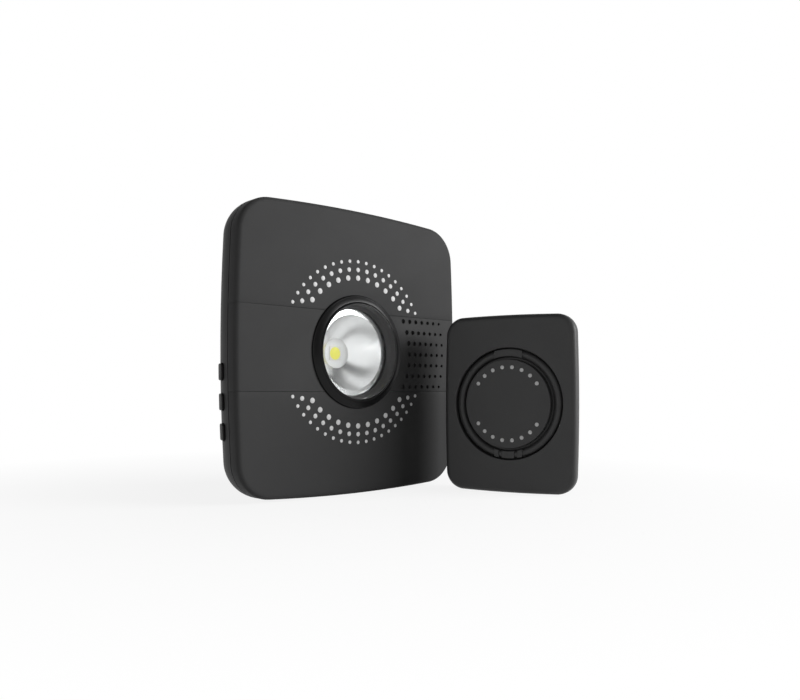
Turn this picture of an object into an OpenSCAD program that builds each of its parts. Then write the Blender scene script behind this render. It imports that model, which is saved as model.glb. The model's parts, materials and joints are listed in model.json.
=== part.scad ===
// Garage door controller: a wall or ceiling hub with a warning lamp, a speaker grille and
// three side buttons, and the battery door sensor that belongs to it.
// The hub's front faces -Y and its wall face lies in the plane y = 0. +X is right, +Z is up.

/* [Hub case] */
// Width of the hub's front
hub_width = 136; // [130:1:144]
// Height of the hub's front
hub_height = 137.8; // [132:0.2:146]
// Depth of the hub from its wall face to its front face
hub_depth = 27.5; // [27:0.1:27.8]
// Radius of the hub's corners, seen from the front
hub_corner = 17.5; // [17:0.1:21]
// Angle at which each bowed side meets its corner
hub_bow = 3.4; // [1:0.1:4.5]
// Rounding of the hub's front edge
hub_edge = 3.5; // [3.2:0.1:4]
// Depth of the front cover's skirt
skirt_depth = 6.3; // [5.9:0.1:6.6]
// Depth at which the rear housing starts to round in
bowl_start = 8; // [7.7:0.1:8.4]
// Wall thickness of the hub's mouldings
wall = 2.4; // [2.2:0.1:2.6]
// Open seam between mouldings
seam = 0.3; // [0.2:0.05:0.4]
// Inset of the four housing screws from the hub's sides
post_inset_x = 32; // [30:1:34]
// Inset of the four housing screws from the hub's top and bottom
post_inset_y = 21; // [20.5:0.5:21.5]

/* [Centre trim] */
// Height of the trim that crosses the front
trim_height = 38.6; // [37:0.2:41]
// Thickness of the trim
trim_thick = 1.2; // [1:0.1:1.3]

/* [Lamp] */
// Radius of the bezel's flange
bezel_radius = 27.6; // [27:0.1:28.4]
// Height of the bezel's outer edge above the front face
bezel_rise = 1; // [0.9:0.05:1.3]
// Height of the bezel's lip above the front face
bezel_proud = 2.3; // [1.8:0.1:2.6]
// Radius of the bezel's mouth in front of the lens
lip_radius = 21.2; // [20.6:0.2:21.6]
// Depth of the lens behind the front face
lens_depth = 3.4; // [3:0.1:3.8]
// Thickness of the lens
lens_thick = 1.2; // [1:0.1:1.5]
// Radius of the reflector's bright rim
rim_radius = 18.6; // [18:0.2:19.4]
// Radius of the reflector's neck round the light source
neck_radius = 7.5; // [6.5:0.5:8.5]
// Height of the reflector's neck above the lamp's board
neck_rise = 1.65; // [1.2:0.05:2]
// Depth of the lamp's board behind the front face
lamp_depth = 19; // [18.2:0.1:19.2]

/* [Speaker] */
// Gap between the lamp's sleeve and the speaker
speaker_lamp_gap = 2.6; // [2.4:0.1:3]
// Gap between the speaker and the hub's right side
speaker_side_gap = 6.2; // [6:0.1:7]
// Number of rows of grille holes
grille_rows = 7; // [5:2:7]
// Number of concentric arcs of grille holes
grille_arcs = 7; // [4:1:7]
// Gap between the grille's first arc and the bezel
grille_lamp_gap = 6.8; // [6.4:0.1:8.4]
// Gap between the grille's last arc and the hub's right side
grille_side_gap = 9.6; // [9:0.1:12]
// Diameter of the grille's inner holes
grille_hole = 2.3; // [1.9:0.1:2.5]

/* [Side buttons] */
// Height of a button's cap
button_height = 8; // [7:0.5:9]
// Depth of a button's cap along the hub's side
button_width = 7.4; // [7:0.2:8]
// Distance between neighbouring buttons
button_pitch = 13.3; // [11.5:0.1:13.6]
// Height of the upper button's middle below the lamp's axis
button_drop = 10.5; // [9:0.5:11]
// Depth of the buttons' middle behind the front face
button_depth = 13.4; // [13:0.1:13.8]
// How far a button stands out of the housing
button_proud = 1; // [0.8:0.1:1.4]
// How far a button is pressed in
button_travel = 0.6; // [0.4:0.05:0.7]

/* [Wall mounting] */
// Distance between the two keyholes in the back
keyhole_span = 76; // [70:1:80]
// Radius of a keyhole's entry for a screw head
keyhole_entry = 4.2; // [3.8:0.1:4.4]
// Width of a keyhole's slot for a screw shank
keyhole_slot = 4.4; // [4:0.1:4.8]

/* [Power inlet] */
// Radius of the round power socket
socket_radius = 2.85; // [2.6:0.05:3]
// Radius of the socket's centre pin
pin_radius = 1; // [0.8:0.05:1.2]
// Drop of the socket below the lamp's axis
jack_drop = 28; // [27:0.5:29]

/* [Door sensor] */
// Width of the sensor
sensor_width = 68; // [66:0.5:74]
// Height of the sensor
sensor_height = 87.4; // [84:0.2:92]
// Depth of the sensor
sensor_depth = 19; // [18.5:0.1:20]
// Radius of the sensor's corners, seen from the front
sensor_corner = 9.5; // [9:0.5:12]
// Rounding of the sensor's front edge
sensor_edge = 2.4; // [2.2:0.1:3]
// Rounding of the sensor's back edge
sensor_back_edge = 4; // [3.5:0.1:4.2]
// Lean of the sensor's sides toward its back
sensor_lean = 20; // [16:0.5:22]
// Wall thickness of the sensor's shells
sensor_wall = 2; // [1.8:0.1:2.1]
// Gap between the battery cover's round well and the sensor's sides
well_margin = 6.5; // [6.2:0.1:7.2]
// Width of the ring round the battery cover's raised disc
ring_width = 5.7; // [5.4:0.1:6]
// Radius of the coin cell
cell_radius = 12.25; // [10:0.25:12.5]
// Thickness of the coin cell
cell_thick = 5; // [3.2:0.1:5]
// Turn of the sensor beside the hub
sensor_turn = -70.5; // [-80:0.5:-60]

/* [Hidden] */
$fn = 96;
// Facets for the long shallow arcs of the bowed sides
long_fn = 720;
// Small overlap where features of one moulding join
join = 0.4;
// How far a cutter passes the face that it cuts
past = 1;
// Clearance of a piece that is seated by hand
slip = 0.15;
// Clearances of a screw's thread in its pilot hole, of its shank and of its head
thread_play = 0.05;
shank_play = 0.2;
head_play = 0.4;
// A straight slope lies this far inside the rounding that it leaves
slope_lap = 0.06;

half = hub_width / 2;
face = hub_depth;
cover_reach = hub_corner * 0.6;
// The bowl rounds in by the corner radius through this turn, then runs straight to the back
bowl_round = hub_corner;
bowl_turn = 55;
bowl_top = face - bowl_start;
bowl_land = bowl_start - skirt_depth - seam;
slope_top = bowl_top - bowl_round * sin(bowl_turn);
back_inset = bowl_round * (1 - cos(bowl_turn)) + slope_top * tan(bowl_turn);
back_lap = (hub_corner - back_inset) / 2;
tongue_thick = 1.4;
tongue_rise = 2.2;

bezel_flange = 2.4;
bezel_sleeve = bezel_radius - bezel_flange;
bezel_hole = bezel_sleeve + slip;
bezel_edge = 0.8;
lip_slope = 1.5;
lip_round = 0.4;
lip_ring = 1.4;
sleeve_lap = 2;
catch_reach = 0.9;
catch_high = 1.2;
lens_lap = 1.2;
lens_radius = lip_radius + lens_lap;
lens_seat = lens_radius + slip;
reflector_top = face - lens_depth - lens_thick;
lamp_board_thick = 0.6;
lamp_board_margin = 2.5;
lamp_board_radius = neck_radius + lamp_board_margin;
lamp_board_top = face - lamp_depth;
led_size = 7;
led_height = 0.5;
phosphor_radius = led_size / 2 - 0.3;
phosphor_thick = 0.15;
reflector_skin = 1;
reflector_bulge = 2.4;
rim_thick = 1.2;
neck_lip = 0.3;

board_thick = 1.4;
board_top = lamp_board_top - lamp_board_thick;
board_back = board_top - board_thick;
post_radius = 4.6;
post_depth = 18.2;
post_split = face - post_depth;
post_x = half - post_inset_x;
post_y = hub_height / 2 - post_inset_y;
screw_radius = 1.5;
screw_head_radius = 2.8;
screw_head_height = 2;
screw_seat = 7.4;
screw_length = 12;
standoff_radius = 3.2;
board_screw_radius = 1;
board_screw_head = 2.2;
board_screw_length = 5.5;
guide_face = half - 7.2;
board_left = guide_face - 5.4;
board_right = guide_face - 9.5;
board_high = post_y - post_radius - 0.9;
standoff_x = board_right - 7.5;
standoff_y = board_high - 4.2;

// Distances of the parts on the main board from its left, right, top and bottom edges
row_inset = 10.5;
wifi_inset = 33.4;
wifi_size = [25, 16, 1];
shield_size = [17, 14, 2.4];
shield_shift = 3;
radio_inset = 31.3;
radio_size = [18, 15, 3];
column_inset = 17.4;
side_column = -board_left + column_inset;
low_row = -board_high + row_inset;
// The lower row runs from the processor to the big capacitor, and these share its length
row_start = 31.4;
row_end = 15.3;
row_first = -board_left + row_start;
row_last = board_right - row_end;
memory_share = 0.4;
small_cap_share = 0.62;
regulator_share = 0.8;
processor_size = [12, 12, 1.4];
memory_size = [8, 6, 1.5];
driver_size = [6, 9, 1.5];
driver_rise = 10;
regulator_size = [8, 8, 4];
clock_size = [4, 4, 1.2];
clock_inset = 13.5;
big_cap = [4, 9];
small_cap = [3.2, 8];
small_cap_drop = 16;

speaker_near = bezel_sleeve + speaker_lamp_gap;
speaker_far = half - speaker_side_gap;
speaker_radius = (speaker_far - speaker_near) / 2;
speaker_offset = (speaker_far + speaker_near) / 2;
speaker_rib = 1.1;
speaker_rib_height = 3.6;
speaker_mouth = speaker_radius - 1.8;
gasket_thick = 0.8;
frame_rim_thick = 1;
gasket_top = face - wall;
frame_top = gasket_top - gasket_thick;
magnet_top = frame_top - 5.8;
magnet_height = 4.5;
magnet_radius = speaker_radius / 2;
grille_start = bezel_radius + grille_lamp_gap;
grille_pitch = (half - grille_side_gap - grille_start) / (grille_arcs - 1);
grille_margin = 2.5;
grille_row_pitch = (trim_height - 2 * grille_margin) / (grille_rows - 1);
hole_step = 0.15;

dot_pitch = 4;
dot_gap = 8.4;
dot_start = bezel_radius + dot_gap;
dot_thick = 0.08;
dot_diameters = [2.6, 2.2, 1.7];
dot_turns = [9.9, 8, 6.75];
dot_counts = [5, 7, 9];

button_line = face - button_depth;
button_play = 0.25;
button_round = 1.8;
button_heights = [for (i = [0:2]) -button_drop - i * button_pitch];
button_skirt = 1;
skirt_thick = 1.2;
stem_radius = 1.8;
stem_line = board_top + 3.9;
plunger_radius = 1.6;
switch_face = board_left + 0.6;
switch_deep = 4;
switch_wide = 6.4;
switch_high = 7;
plunger_out = 1.9;
plunger_in = 1.4;

pocket_roof = 0.9;
pocket_depth = board_back - wall - pocket_roof - seam;
pocket_side = 1.2;
keyhole_rise = 8;

jack_wide = 9;
jack_high = 11;
jack_long = 12;
jack_line = board_top + 6.4;
snout_radius = socket_radius + 1.75;
// The jack's lower front edge stays clear of the bowed housing's inner wall
jack_gap = 0.9;
jack_front = half - bowl_round + sqrt(pow(bowl_round - wall, 2) - pow(bowl_top - board_top, 2)) - jack_gap;
snout_depth = 1.9;
snout_end = half - snout_depth;
socket_deep = 9.5;
pin_long = 8.5;

sensor_face = sensor_depth;
sensor_bow = 2;
sensor_part = 13.6;
sensor_reach = sensor_corner * 0.7;
// Inset of the middle of the back edge's rounding, where the flat back starts
lean_inset = (sensor_part - sensor_back_edge) * tan(sensor_lean) + sensor_back_edge / cos(sensor_lean);
lean_lap = (sensor_corner - lean_inset) / 2;
well_radius = sensor_width / 2 - well_margin;
disc_radius = well_radius - ring_width;
well_floor_top = sensor_face - 4.2;
well_floor = 1.4;
well_side = 1.8;
cover_play = 0.5;
cover_rim = well_radius - cover_play;
cover_skirt = disc_radius + 1.4;
cover_hole = cover_skirt + 0.4;
cover_skin = 2.2;
disc_proud = 0.8;
disc_edge = 0.8;
groove = 1.2;
ring_inner = disc_radius + groove;
ring_round = (cover_rim - ring_inner) / 2;
ring_top = sensor_face - 0.6;
flange_bottom = well_floor_top + 0.3;
flange_thick = 1.2;
flange_top = flange_bottom + flange_thick;
tab_count = 3;
tab_turn = 22;
tab_reach = 2;
tab_thick = 1.3;
tab_top = well_floor_top - well_floor - 0.3;
notch_slack = 5;
pad_wide = 14.6;
pad_top = sensor_face - 0.2;
pad_slot = 1.4;
pad_middle = 6.6;
cover_dot_inset = 3.8;
cover_dot_ring = disc_radius - cover_dot_inset;
cover_dot_turn = 16.2;
cover_dot_diameter = 2.1;
cell_top = sensor_face - 8.5;
contact_thick = 0.4;
sensor_board_top = cell_top - cell_thick - contact_thick;
sensor_board_thick = 1.2;
sensor_board_back = sensor_board_top - sensor_board_thick;
sensor_post_inset = 11;
sensor_post_x = sensor_width / 2 - sensor_post_inset;
sensor_post_y = sensor_height / 2 - sensor_post_inset;
sensor_post = 3.6;
sensor_screw = 1.2;
sensor_screw_head = 2.2;
sensor_screw_head_high = 1.6;
sensor_screw_seat = 4;
sensor_screw_length = 12.4;
sensor_board_inset = 7.2;
sensor_board_x = sensor_width / 2 - sensor_board_inset;
sensor_board_y = sensor_post_y - sensor_post - 1;
sensor_stand_x = sensor_board_x - 3;
sensor_stand_y = sensor_board_y - 3;
sensor_stand = 2.4;
// Chips and tilt switch stand in two rows, above and below the coin cell
sensor_row = sensor_board_y - 6.4;
radio_chip_x = 15;
radio_chip_size = [7, 7, 1.2];
flash_chip_x = 2;
flash_chip_size = [5, 4, 1.2];
crystal_size = [5, 3, 1.2];
tilt_can = 2.4;
tilt_long = 9;
tilt_x = -12;
small_screw = 0.8;
small_head = 1.6;
small_head_high = 1;
small_length = 3.6;
// Where the middle of the battery cover's face stands, in front of the hub and to its right
cover_x = 54.4;
cover_y = 48.3;
sensor_x = cover_x - sin(sensor_turn) * (sensor_face + disc_proud);
sensor_y = -hub_depth - cover_y + cos(sensor_turn) * (sensor_face + disc_proud);
sensor_z = (sensor_height - hub_height) / 2;

hub_outline = [hub_width, hub_height, hub_corner, hub_bow];
sensor_outline = [sensor_width, sensor_height, sensor_corner, sensor_bow];

hub_black = "#434343";
rear_black = "#2c2c2c";
gloss_black = "#161616";
button_black = "#1a1a1a";
dot_white = "#d0d0d0";
board_green = "#1f5a3a";
metal_grey = "#b9bcc0";
chip_black = "#202020";
sensor_black = "#363636";
brass_yellow = "#c9a552";

// Places of the corner circles' centres and radii of the bowed sides of an outline,
// which is [width, height, corner radius, bow angle]
function corner_x(o) =
  ((o[0] / 2 - o[2]) - tan(o[3] / 2) * (o[1] / 2 - o[2])) / (1 - pow(tan(o[3] / 2), 2));
function corner_y(o) = corner_x([o[1], o[0], o[2], o[3]]);
function side_radius(o) = o[2] + corner_y(o) / sin(o[3]);
function end_radius(o) = o[2] + corner_x(o) / sin(o[3]);

// Turns a piece modelled lying on its back, front up, so that it stands with its front to -Y
module stand() {
  rotate([90, 0, 0]) children();
}

module stand_sensor() {
  translate([sensor_x, sensor_y, sensor_z]) rotate([0, 0, sensor_turn]) stand() children();
}

// Copies a feature to all four quarters
module quarters(x, y) {
  for (sx = [-1, 1], sy = [-1, 1]) translate([sx * x, sy * y, 0]) children();
}

// Moves by whole units, then by thousandths, then by the rest: long shallow arcs have far centres,
// and in steps no digit of their place is lost, so that neighbouring sweeps meet exactly
module place(x, y) {
  whole = [floor(x), floor(y)];
  fine = [floor((x - whole[0]) * 1000) / 1000, floor((y - whole[1]) * 1000) / 1000];
  translate(whole) translate(fine) translate([x, y] - whole - fine) children();
}

// Sweeps a profile along the right side of an outline; the profile's x runs outward from it
module sweep_side(o) {
  r = side_radius(o);
  place(o[0] / 2 - r, 0)
    rotate_extrude(angle = 2 * o[3], start = -o[3], $fn = long_fn) place(r, 0) children();
}

module sweep_end(o) {
  r = end_radius(o);
  place(0, o[1] / 2 - r)
    rotate_extrude(angle = 2 * o[3], start = 90 - o[3], $fn = long_fn) place(r, 0) children();
}

module sweep_corner(o) {
  place(corner_x(o), corner_y(o))
    rotate_extrude(angle = 90 - 2 * o[3], start = o[3]) translate([o[2], 0]) children();
}

module sweep_around(o) {
  for (m = [0, 1]) {
    mirror([m, 0, 0]) sweep_side(o) children();
    mirror([0, m, 0]) sweep_end(o) children();
    for (k = [0, 1]) mirror([m, 0, 0]) mirror([0, k, 0]) sweep_corner(o) children();
  }
}

// Core that fills an outline out to the middle of its swept band
module outline_core(o, reach) {
  cx = corner_x(o);
  cy = corner_y(o);
  r = o[2] - reach / 2;
  corner = [for (turn = [o[3], 45, 90 - o[3]]) [cx + r * cos(turn), cy + r * sin(turn)]];
  side = [o[0] / 2 - reach / 2, 0];
  end = [0, o[1] / 2 - reach / 2];
  flipped = [for (i = [2:-1:0]) [-corner[i][0], corner[i][1]]];
  polygon(concat([side], corner, [end], flipped, [-side], -corner, [-end], -flipped));
}

// Half profile of a rounded lid: face at y = 0, side at x = 0, drawn in by an inset
module lid_area(inset, edge, depth, reach) {
  intersection() {
    translate([-edge, -edge]) circle(edge - inset, $fn = 96);
    translate([-reach, -depth]) square([reach, depth]);
  }
  translate([-reach, -depth]) square([reach - edge, depth - inset]);
  translate([-reach, -depth]) square([reach - inset, depth - edge]);
}

// Skin of a lid's profile between two insets
module lid_skin(outer, inner, edge, depth, reach) {
  difference() {
    lid_area(outer, edge, depth, reach);
    lid_area(inner, edge, depth + past, reach + past);
  }
}

// Shell of a lid with its face at z = 0
module lid(o, thick, edge, depth, reach) {
  sweep_around(o) lid_skin(0, thick, edge, depth, reach);
  translate([0, 0, -thick]) linear_extrude(thick) outline_core(o, reach);
}

module rounded_rect(w, h, r) {
  square([w - 2 * r, h], center = true);
  square([w, h - 2 * r], center = true);
  quarters(w / 2 - r, h / 2 - r) circle(r, $fn = 48);
}

// Oblong with round ends, upright, between two heights
module oblong(r, low, high) {
  translate([0, low]) circle(r);
  translate([0, high]) circle(r);
  translate([-r, low]) square([2 * r, high - low]);
}

// A block on a board, whose size is its width, height and thickness
module block(x, y, size, z) {
  translate([x - size[0] / 2, y - size[1] / 2, z]) cube(size);
}

// A screw seen head down, with its head's underside at z = 0 and its shank upward
module screw(r, head_r, head_h, long) {
  translate([0, 0, -head_h]) cylinder(r = head_r, h = head_h);
  cylinder(r = r, h = long);
}

// Front cover, with the channel that takes the trim
module trim_layer(grow, thick, tall) {
  intersection() {
    union() {
      for (m = [0, 1]) mirror([m, 0, 0]) sweep_side(hub_outline)
        translate([0, face]) lid_skin(-grow, thick, hub_edge, skirt_depth + grow, cover_reach);
      translate([-half + cover_reach / 2, -tall, face - thick])
        cube([hub_width - cover_reach, 2 * tall, thick + grow]);
    }
    translate([-hub_width, -tall / 2, 0]) cube([2 * hub_width, tall, 2 * hub_depth]);
  }
}

module hub_front_cover() {
  color(hub_black) stand() difference() {
    union() {
      translate([0, 0, face]) lid(hub_outline, wall, hub_edge, skirt_depth, cover_reach);
      quarters(post_x, post_y) translate([0, 0, post_split + seam])
        cylinder(r = post_radius - 1, h = face - wall + join - post_split - seam);
      translate([speaker_offset, 0, face - wall - speaker_rib_height])
        cylinder(r = speaker_radius + slip + speaker_rib, h = speaker_rib_height + join);
    }
    trim_layer(past, trim_thick, trim_height);
    translate([0, 0, face - skirt_depth]) cylinder(r = bezel_hole, h = skirt_depth + past);
    translate([speaker_offset, 0, face - skirt_depth]) cylinder(r = speaker_mouth, h = skirt_depth + past);
    translate([speaker_offset, 0, face - wall - speaker_rib_height - past])
      cylinder(r = speaker_radius + slip, h = speaker_rib_height + past);
    quarters(post_x, post_y) translate([0, 0, post_split])
      cylinder(r = screw_radius + thread_play, h = screw_length);
  }
}

function grille_x(arc, row) =
  sqrt(pow(grille_start + grille_pitch * arc, 2) - pow(row * grille_row_pitch, 2));

// Half of the trim: the lamp's bezel parts it in two
module half_trim(side) {
  intersection() {
    difference() {
      trim_layer(0, trim_thick - 0.05, trim_height - seam);
      translate([0, 0, face - past - trim_thick]) cylinder(r = bezel_hole, h = 2 * past + trim_thick);
    }
    translate([side * hub_width / 2, 0, face]) cube([hub_width, hub_width, 2 * hub_depth], center = true);
  }
}

module left_trim() {
  color(hub_black) stand() half_trim(-1);
}

module grille_trim() {
  side_rows = (grille_rows - 1) / 2;
  color(hub_black) stand() difference() {
    half_trim(1);
    for (row = [-side_rows:side_rows], arc = [0:grille_arcs - 1])
      translate([grille_x(arc, row), row * grille_row_pitch, face - past - trim_thick])
        cylinder(d = grille_hole - hole_step * arc, h = 2 * past + trim_thick, $fn = 32);
  }
}

// Printed dots in three arcs above and below the lamp
module front_dots() {
  color(dot_white) stand() for (ring = [0:2], flip = [0, 180], k = [-dot_counts[ring]:dot_counts[ring]])
    rotate([0, 0, flip + k * dot_turns[ring]]) translate([0, dot_start + dot_pitch * ring, face])
      cylinder(d = dot_diameters[ring], h = dot_thick, $fn = 32);
}

// Area inside the bowl's side, drawn in by an inset: an arc that runs into a straight slope
module bowl_area(inset) {
  r = bowl_round - inset;
  touch = [-bowl_round, bowl_top] + (r - slope_lap) * [cos(bowl_turn), -sin(bowl_turn)];
  foot = [touch[0] - (touch[1] + past) * tan(bowl_turn), -past];
  translate([-bowl_round, bowl_top]) circle(r, $fn = 96);
  polygon([[-bowl_round, bowl_top], touch, foot, [-2 * bowl_round, -past], [-2 * bowl_round, bowl_top]]);
}

// Rear housing: a bowl with a flat back, and a tongue that the front cover's skirt slips over
module bowl_profile() {
  clip = back_inset + back_lap;
  tongue_side = -wall - slip - tongue_thick;
  intersection() {
    difference() {
      bowl_area(0);
      bowl_area(wall);
    }
    translate([-clip, 0]) square([clip + past, bowl_top]);
  }
  translate([-clip, 0]) square([back_lap, wall]);
  translate([tongue_side, bowl_top - wall]) square([-tongue_side - wall / 2, wall]);
  translate([tongue_side, bowl_top - join]) square([-tongue_side, bowl_land + join]);
  translate([tongue_side, bowl_top]) square([tongue_thick, bowl_land + seam + tongue_rise]);
}

// Solid left flank of the bowl, grown outward
module left_flank(grow) {
  mirror([1, 0, 0]) sweep_side(hub_outline) intersection() {
    translate([-bowl_round, bowl_top]) circle(bowl_round + grow, $fn = 96);
    translate([-bowl_round * 0.8, 0]) square([bowl_round, bowl_top]);
  }
}

// Prism along X with a rounded outline, from x = from to x = to
module side_prism(from, to, h, w, r) {
  translate([from, 0, 0]) rotate([0, 90, 0]) linear_extrude(to - from) rounded_rect(w, h, r);
}

module hub_rear_housing() {
  guide_top = button_heights[0] + button_height / 2 + 3;
  guide_low = button_heights[2] - button_height / 2 - 3;
  guide_wide = button_width + 4;
  color(rear_black) stand() difference() {
    union() {
      sweep_around(hub_outline) bowl_profile();
      linear_extrude(wall) outline_core(hub_outline, 2 * back_inset + back_lap);
      quarters(post_x, post_y) translate([0, 0, wall - join])
        cylinder(r = post_radius, h = post_split - wall + join);
      quarters(standoff_x, standoff_y) translate([0, 0, wall - join])
        cylinder(r = standoff_radius, h = board_back - wall + join);
      for (s = [-1, 1]) translate([s * keyhole_span / 2, 0, wall - join])
        linear_extrude(pocket_depth + pocket_roof + join)
          oblong(keyhole_entry + pocket_side + 0.6, -keyhole_rise / 2, keyhole_rise / 2);
      intersection() {
        translate([-half, guide_low, button_line - guide_wide / 2])
          cube([half - guide_face, guide_top - guide_low, guide_wide]);
        left_flank(-wall / 2);
      }
    }
    quarters(post_x, post_y) {
      translate([0, 0, -past]) cylinder(r = screw_head_radius + head_play, h = screw_seat + past);
      cylinder(r = screw_radius + shank_play, h = face);
    }
    quarters(standoff_x, standoff_y) translate([0, 0, wall])
      cylinder(r = board_screw_radius + thread_play, h = board_back);
    for (s = [-1, 1]) translate([s * keyhole_span / 2, 0, 0]) {
      translate([0, 0, wall]) linear_extrude(pocket_depth)
        oblong(keyhole_entry + 0.6, -keyhole_rise / 2, keyhole_rise / 2);
      translate([0, 0, -past]) linear_extrude(wall + 2 * past) {
        translate([0, -keyhole_rise / 2]) circle(keyhole_entry);
        oblong(keyhole_slot / 2, -keyhole_rise / 2, keyhole_rise / 2);
      }
    }
    for (y = button_heights) translate([0, y, button_line])
      side_prism(-half - past, -guide_face + past, button_height, button_width, button_round);
    translate([jack_front - past, -jack_drop, jack_line]) rotate([0, 90, 0])
      cylinder(r = snout_radius + slip, h = half);
  }
}

// Lamp bezel: its front rises from a rounded edge to a lip, with a crease before the lip
module lamp_bezel() {
  mouth = [lip_radius, face - lens_depth];
  lip_side = [lip_radius + lip_slope, face + bezel_proud - lip_round];
  lip_top = [lip_side[0] + lip_round, face + bezel_proud];
  edge_top = [bezel_radius - bezel_edge, face + bezel_rise];
  crease = lip_side[0] + lip_ring;
  crease_top = lip_top[1] + (crease - lip_top[0]) / (edge_top[0] - lip_top[0]) * (edge_top[1] - lip_top[1]);
  sleeve_end = reflector_top - sleeve_lap;
  color(gloss_black) stand() {
    rotate_extrude() {
      difference() {
        polygon([mouth, lip_side, lip_top, edge_top, [edge_top[0], face], [bezel_sleeve, face],
          [bezel_sleeve, mouth[1]]]);
        translate([crease, crease_top]) rotate(45) square(lip_round, center = true);
      }
      translate([edge_top[0] - join, face]) square([bezel_edge + join, bezel_rise - bezel_edge]);
      intersection() {
        translate([edge_top[0], edge_top[1] - bezel_edge]) circle(bezel_edge);
        translate([edge_top[0] - join, edge_top[1] - bezel_edge]) square(bezel_edge + join);
      }
      translate([lens_seat, sleeve_end]) square([bezel_sleeve - lens_seat, face - sleeve_end]);
    }
    for (turn = [90, 210, 330]) rotate([0, 0, turn - 10]) rotate_extrude(angle = 20)
      translate([bezel_sleeve - join, face - wall - slip - catch_high])
        square([join + catch_reach, catch_high]);
  }
}

module lamp_lens() {
  color("#e8eef0", 0.4) stand() translate([0, 0, reflector_top]) cylinder(r = lens_radius, h = lens_thick);
}

// Reflector cup whose curve is one arc from the neck to the rim, on a collar round the light source
module lamp_reflector() {
  neck_top = lamp_board_top + neck_rise;
  cup_deep = reflector_top - neck_top;
  cup_wide = rim_radius - neck_radius;
  chord = sqrt(cup_deep * cup_deep + cup_wide * cup_wide);
  arc_radius = (chord * chord / 4 + reflector_bulge * reflector_bulge) / (2 * reflector_bulge);
  along = [cup_wide / chord, cup_deep / chord];
  middle = [(rim_radius + neck_radius) / 2, (reflector_top + neck_top) / 2];
  centre = middle + (arc_radius - reflector_bulge) * [-along[1], along[0]];
  color("#d8d8d8") stand() rotate_extrude() {
    difference() {
      intersection() {
        translate(centre) circle(arc_radius + reflector_skin, $fn = 180);
        translate([neck_radius, neck_top]) square([lens_radius - neck_radius, cup_deep]);
      }
      translate(centre) circle(arc_radius, $fn = 180);
      translate([0, neck_top - past]) square([neck_radius, cup_deep]);
    }
    translate([rim_radius, reflector_top - rim_thick]) square([lens_radius - rim_radius, rim_thick]);
    translate([neck_radius, lamp_board_top]) square([reflector_skin, neck_rise + neck_lip]);
  }
}

module lamp_board() {
  color("#f2f2ee") stand() translate([0, 0, board_top]) cylinder(r = lamp_board_radius, h = lamp_board_thick);
}

module led_package() {
  color("#f4f2ea") stand() block(0, 0, [led_size, led_size, led_height], lamp_board_top);
}

module led_phosphor() {
  color("#f2d020") stand() translate([0, 0, lamp_board_top + led_height])
    cylinder(r = phosphor_radius, h = phosphor_thick);
}

// Speaker
module at_speaker() {
  stand() translate([speaker_offset, 0, 0]) children();
}

module speaker_gasket() {
  color("#303030") at_speaker() translate([0, 0, frame_top]) difference() {
    cylinder(r = speaker_radius, h = gasket_thick);
    translate([0, 0, -past]) cylinder(r = speaker_mouth, h = gasket_thick + 2 * past);
  }
}

module speaker_frame() {
  basket_low = magnet_top;
  color(metal_grey) at_speaker() difference() {
    rotate_extrude() polygon([[speaker_mouth, frame_top], [speaker_radius, frame_top],
      [speaker_radius, frame_top - frame_rim_thick], [speaker_mouth + 0.6, frame_top - frame_rim_thick],
      [magnet_radius + 1, basket_low], [magnet_radius - 4, basket_low], [magnet_radius - 4, basket_low + 0.8],
      [magnet_radius + 0.6, basket_low + 0.8], [speaker_mouth, frame_top - frame_rim_thick]]);
    for (k = [0:3]) rotate([0, 0, 45 + 90 * k]) translate([magnet_radius + 1.6, -4, basket_low + 1.2])
      cube([4, 8, 2.4]);
  }
}

module speaker_cone() {
  cap_radius = 6;
  cap_rise = 1.6;
  cap_ball = (cap_radius * cap_radius + cap_rise * cap_rise) / (2 * cap_rise);
  cone_low = frame_top - 3.4;
  color("#1c1c1c") at_speaker() {
    rotate_extrude() polygon([[cap_radius - 1, cone_low], [cap_radius, cone_low],
      [speaker_mouth - 0.2, frame_top - 0.4], [speaker_mouth - 0.2, frame_top],
      [speaker_mouth - 1.6, frame_top], [cap_radius - 1, cone_low + 0.6]]);
    intersection() {
      translate([0, 0, cone_low + cap_rise - cap_ball]) sphere(cap_ball);
      translate([0, 0, cone_low]) cylinder(r = cap_radius, h = cap_rise);
    }
  }
}

module speaker_magnet() {
  color("#8c8f94") at_speaker() translate([0, 0, magnet_top - magnet_height])
    cylinder(r = magnet_radius, h = magnet_height);
}

// Main board and what stands on it
module main_board() {
  color(board_green) stand() difference() {
    translate([-board_left, -board_high, board_back])
      cube([board_left + board_right, 2 * board_high, board_thick]);
    quarters(standoff_x, standoff_y) translate([0, 0, board_back - past])
      cylinder(r = board_screw_radius + shank_play, h = board_thick + 2 * past);
  }
}

module wifi_module() {
  color("#26324a") stand() block(-board_left + wifi_inset, board_high - row_inset, wifi_size, board_top);
}

module wifi_shield() {
  color(metal_grey) stand()
    block(-board_left + wifi_inset - shield_shift, board_high - row_inset, shield_size,
      board_top + wifi_size[2]);
}

module radio_module() {
  color(metal_grey) stand() block(board_right - radio_inset, board_high - row_inset, radio_size, board_top);
}

function row_place(share) = row_first + share * (row_last - row_first);

module board_chips() {
  color(chip_black) stand() {
    block(row_first, low_row, processor_size, board_top);
    block(row_place(memory_share), low_row, memory_size, board_top);
    block(side_column, driver_rise, driver_size, board_top);
    block(row_place(regulator_share), low_row, regulator_size, board_top);
    block(side_column, board_high - clock_inset, clock_size, board_top);
  }
}

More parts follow.
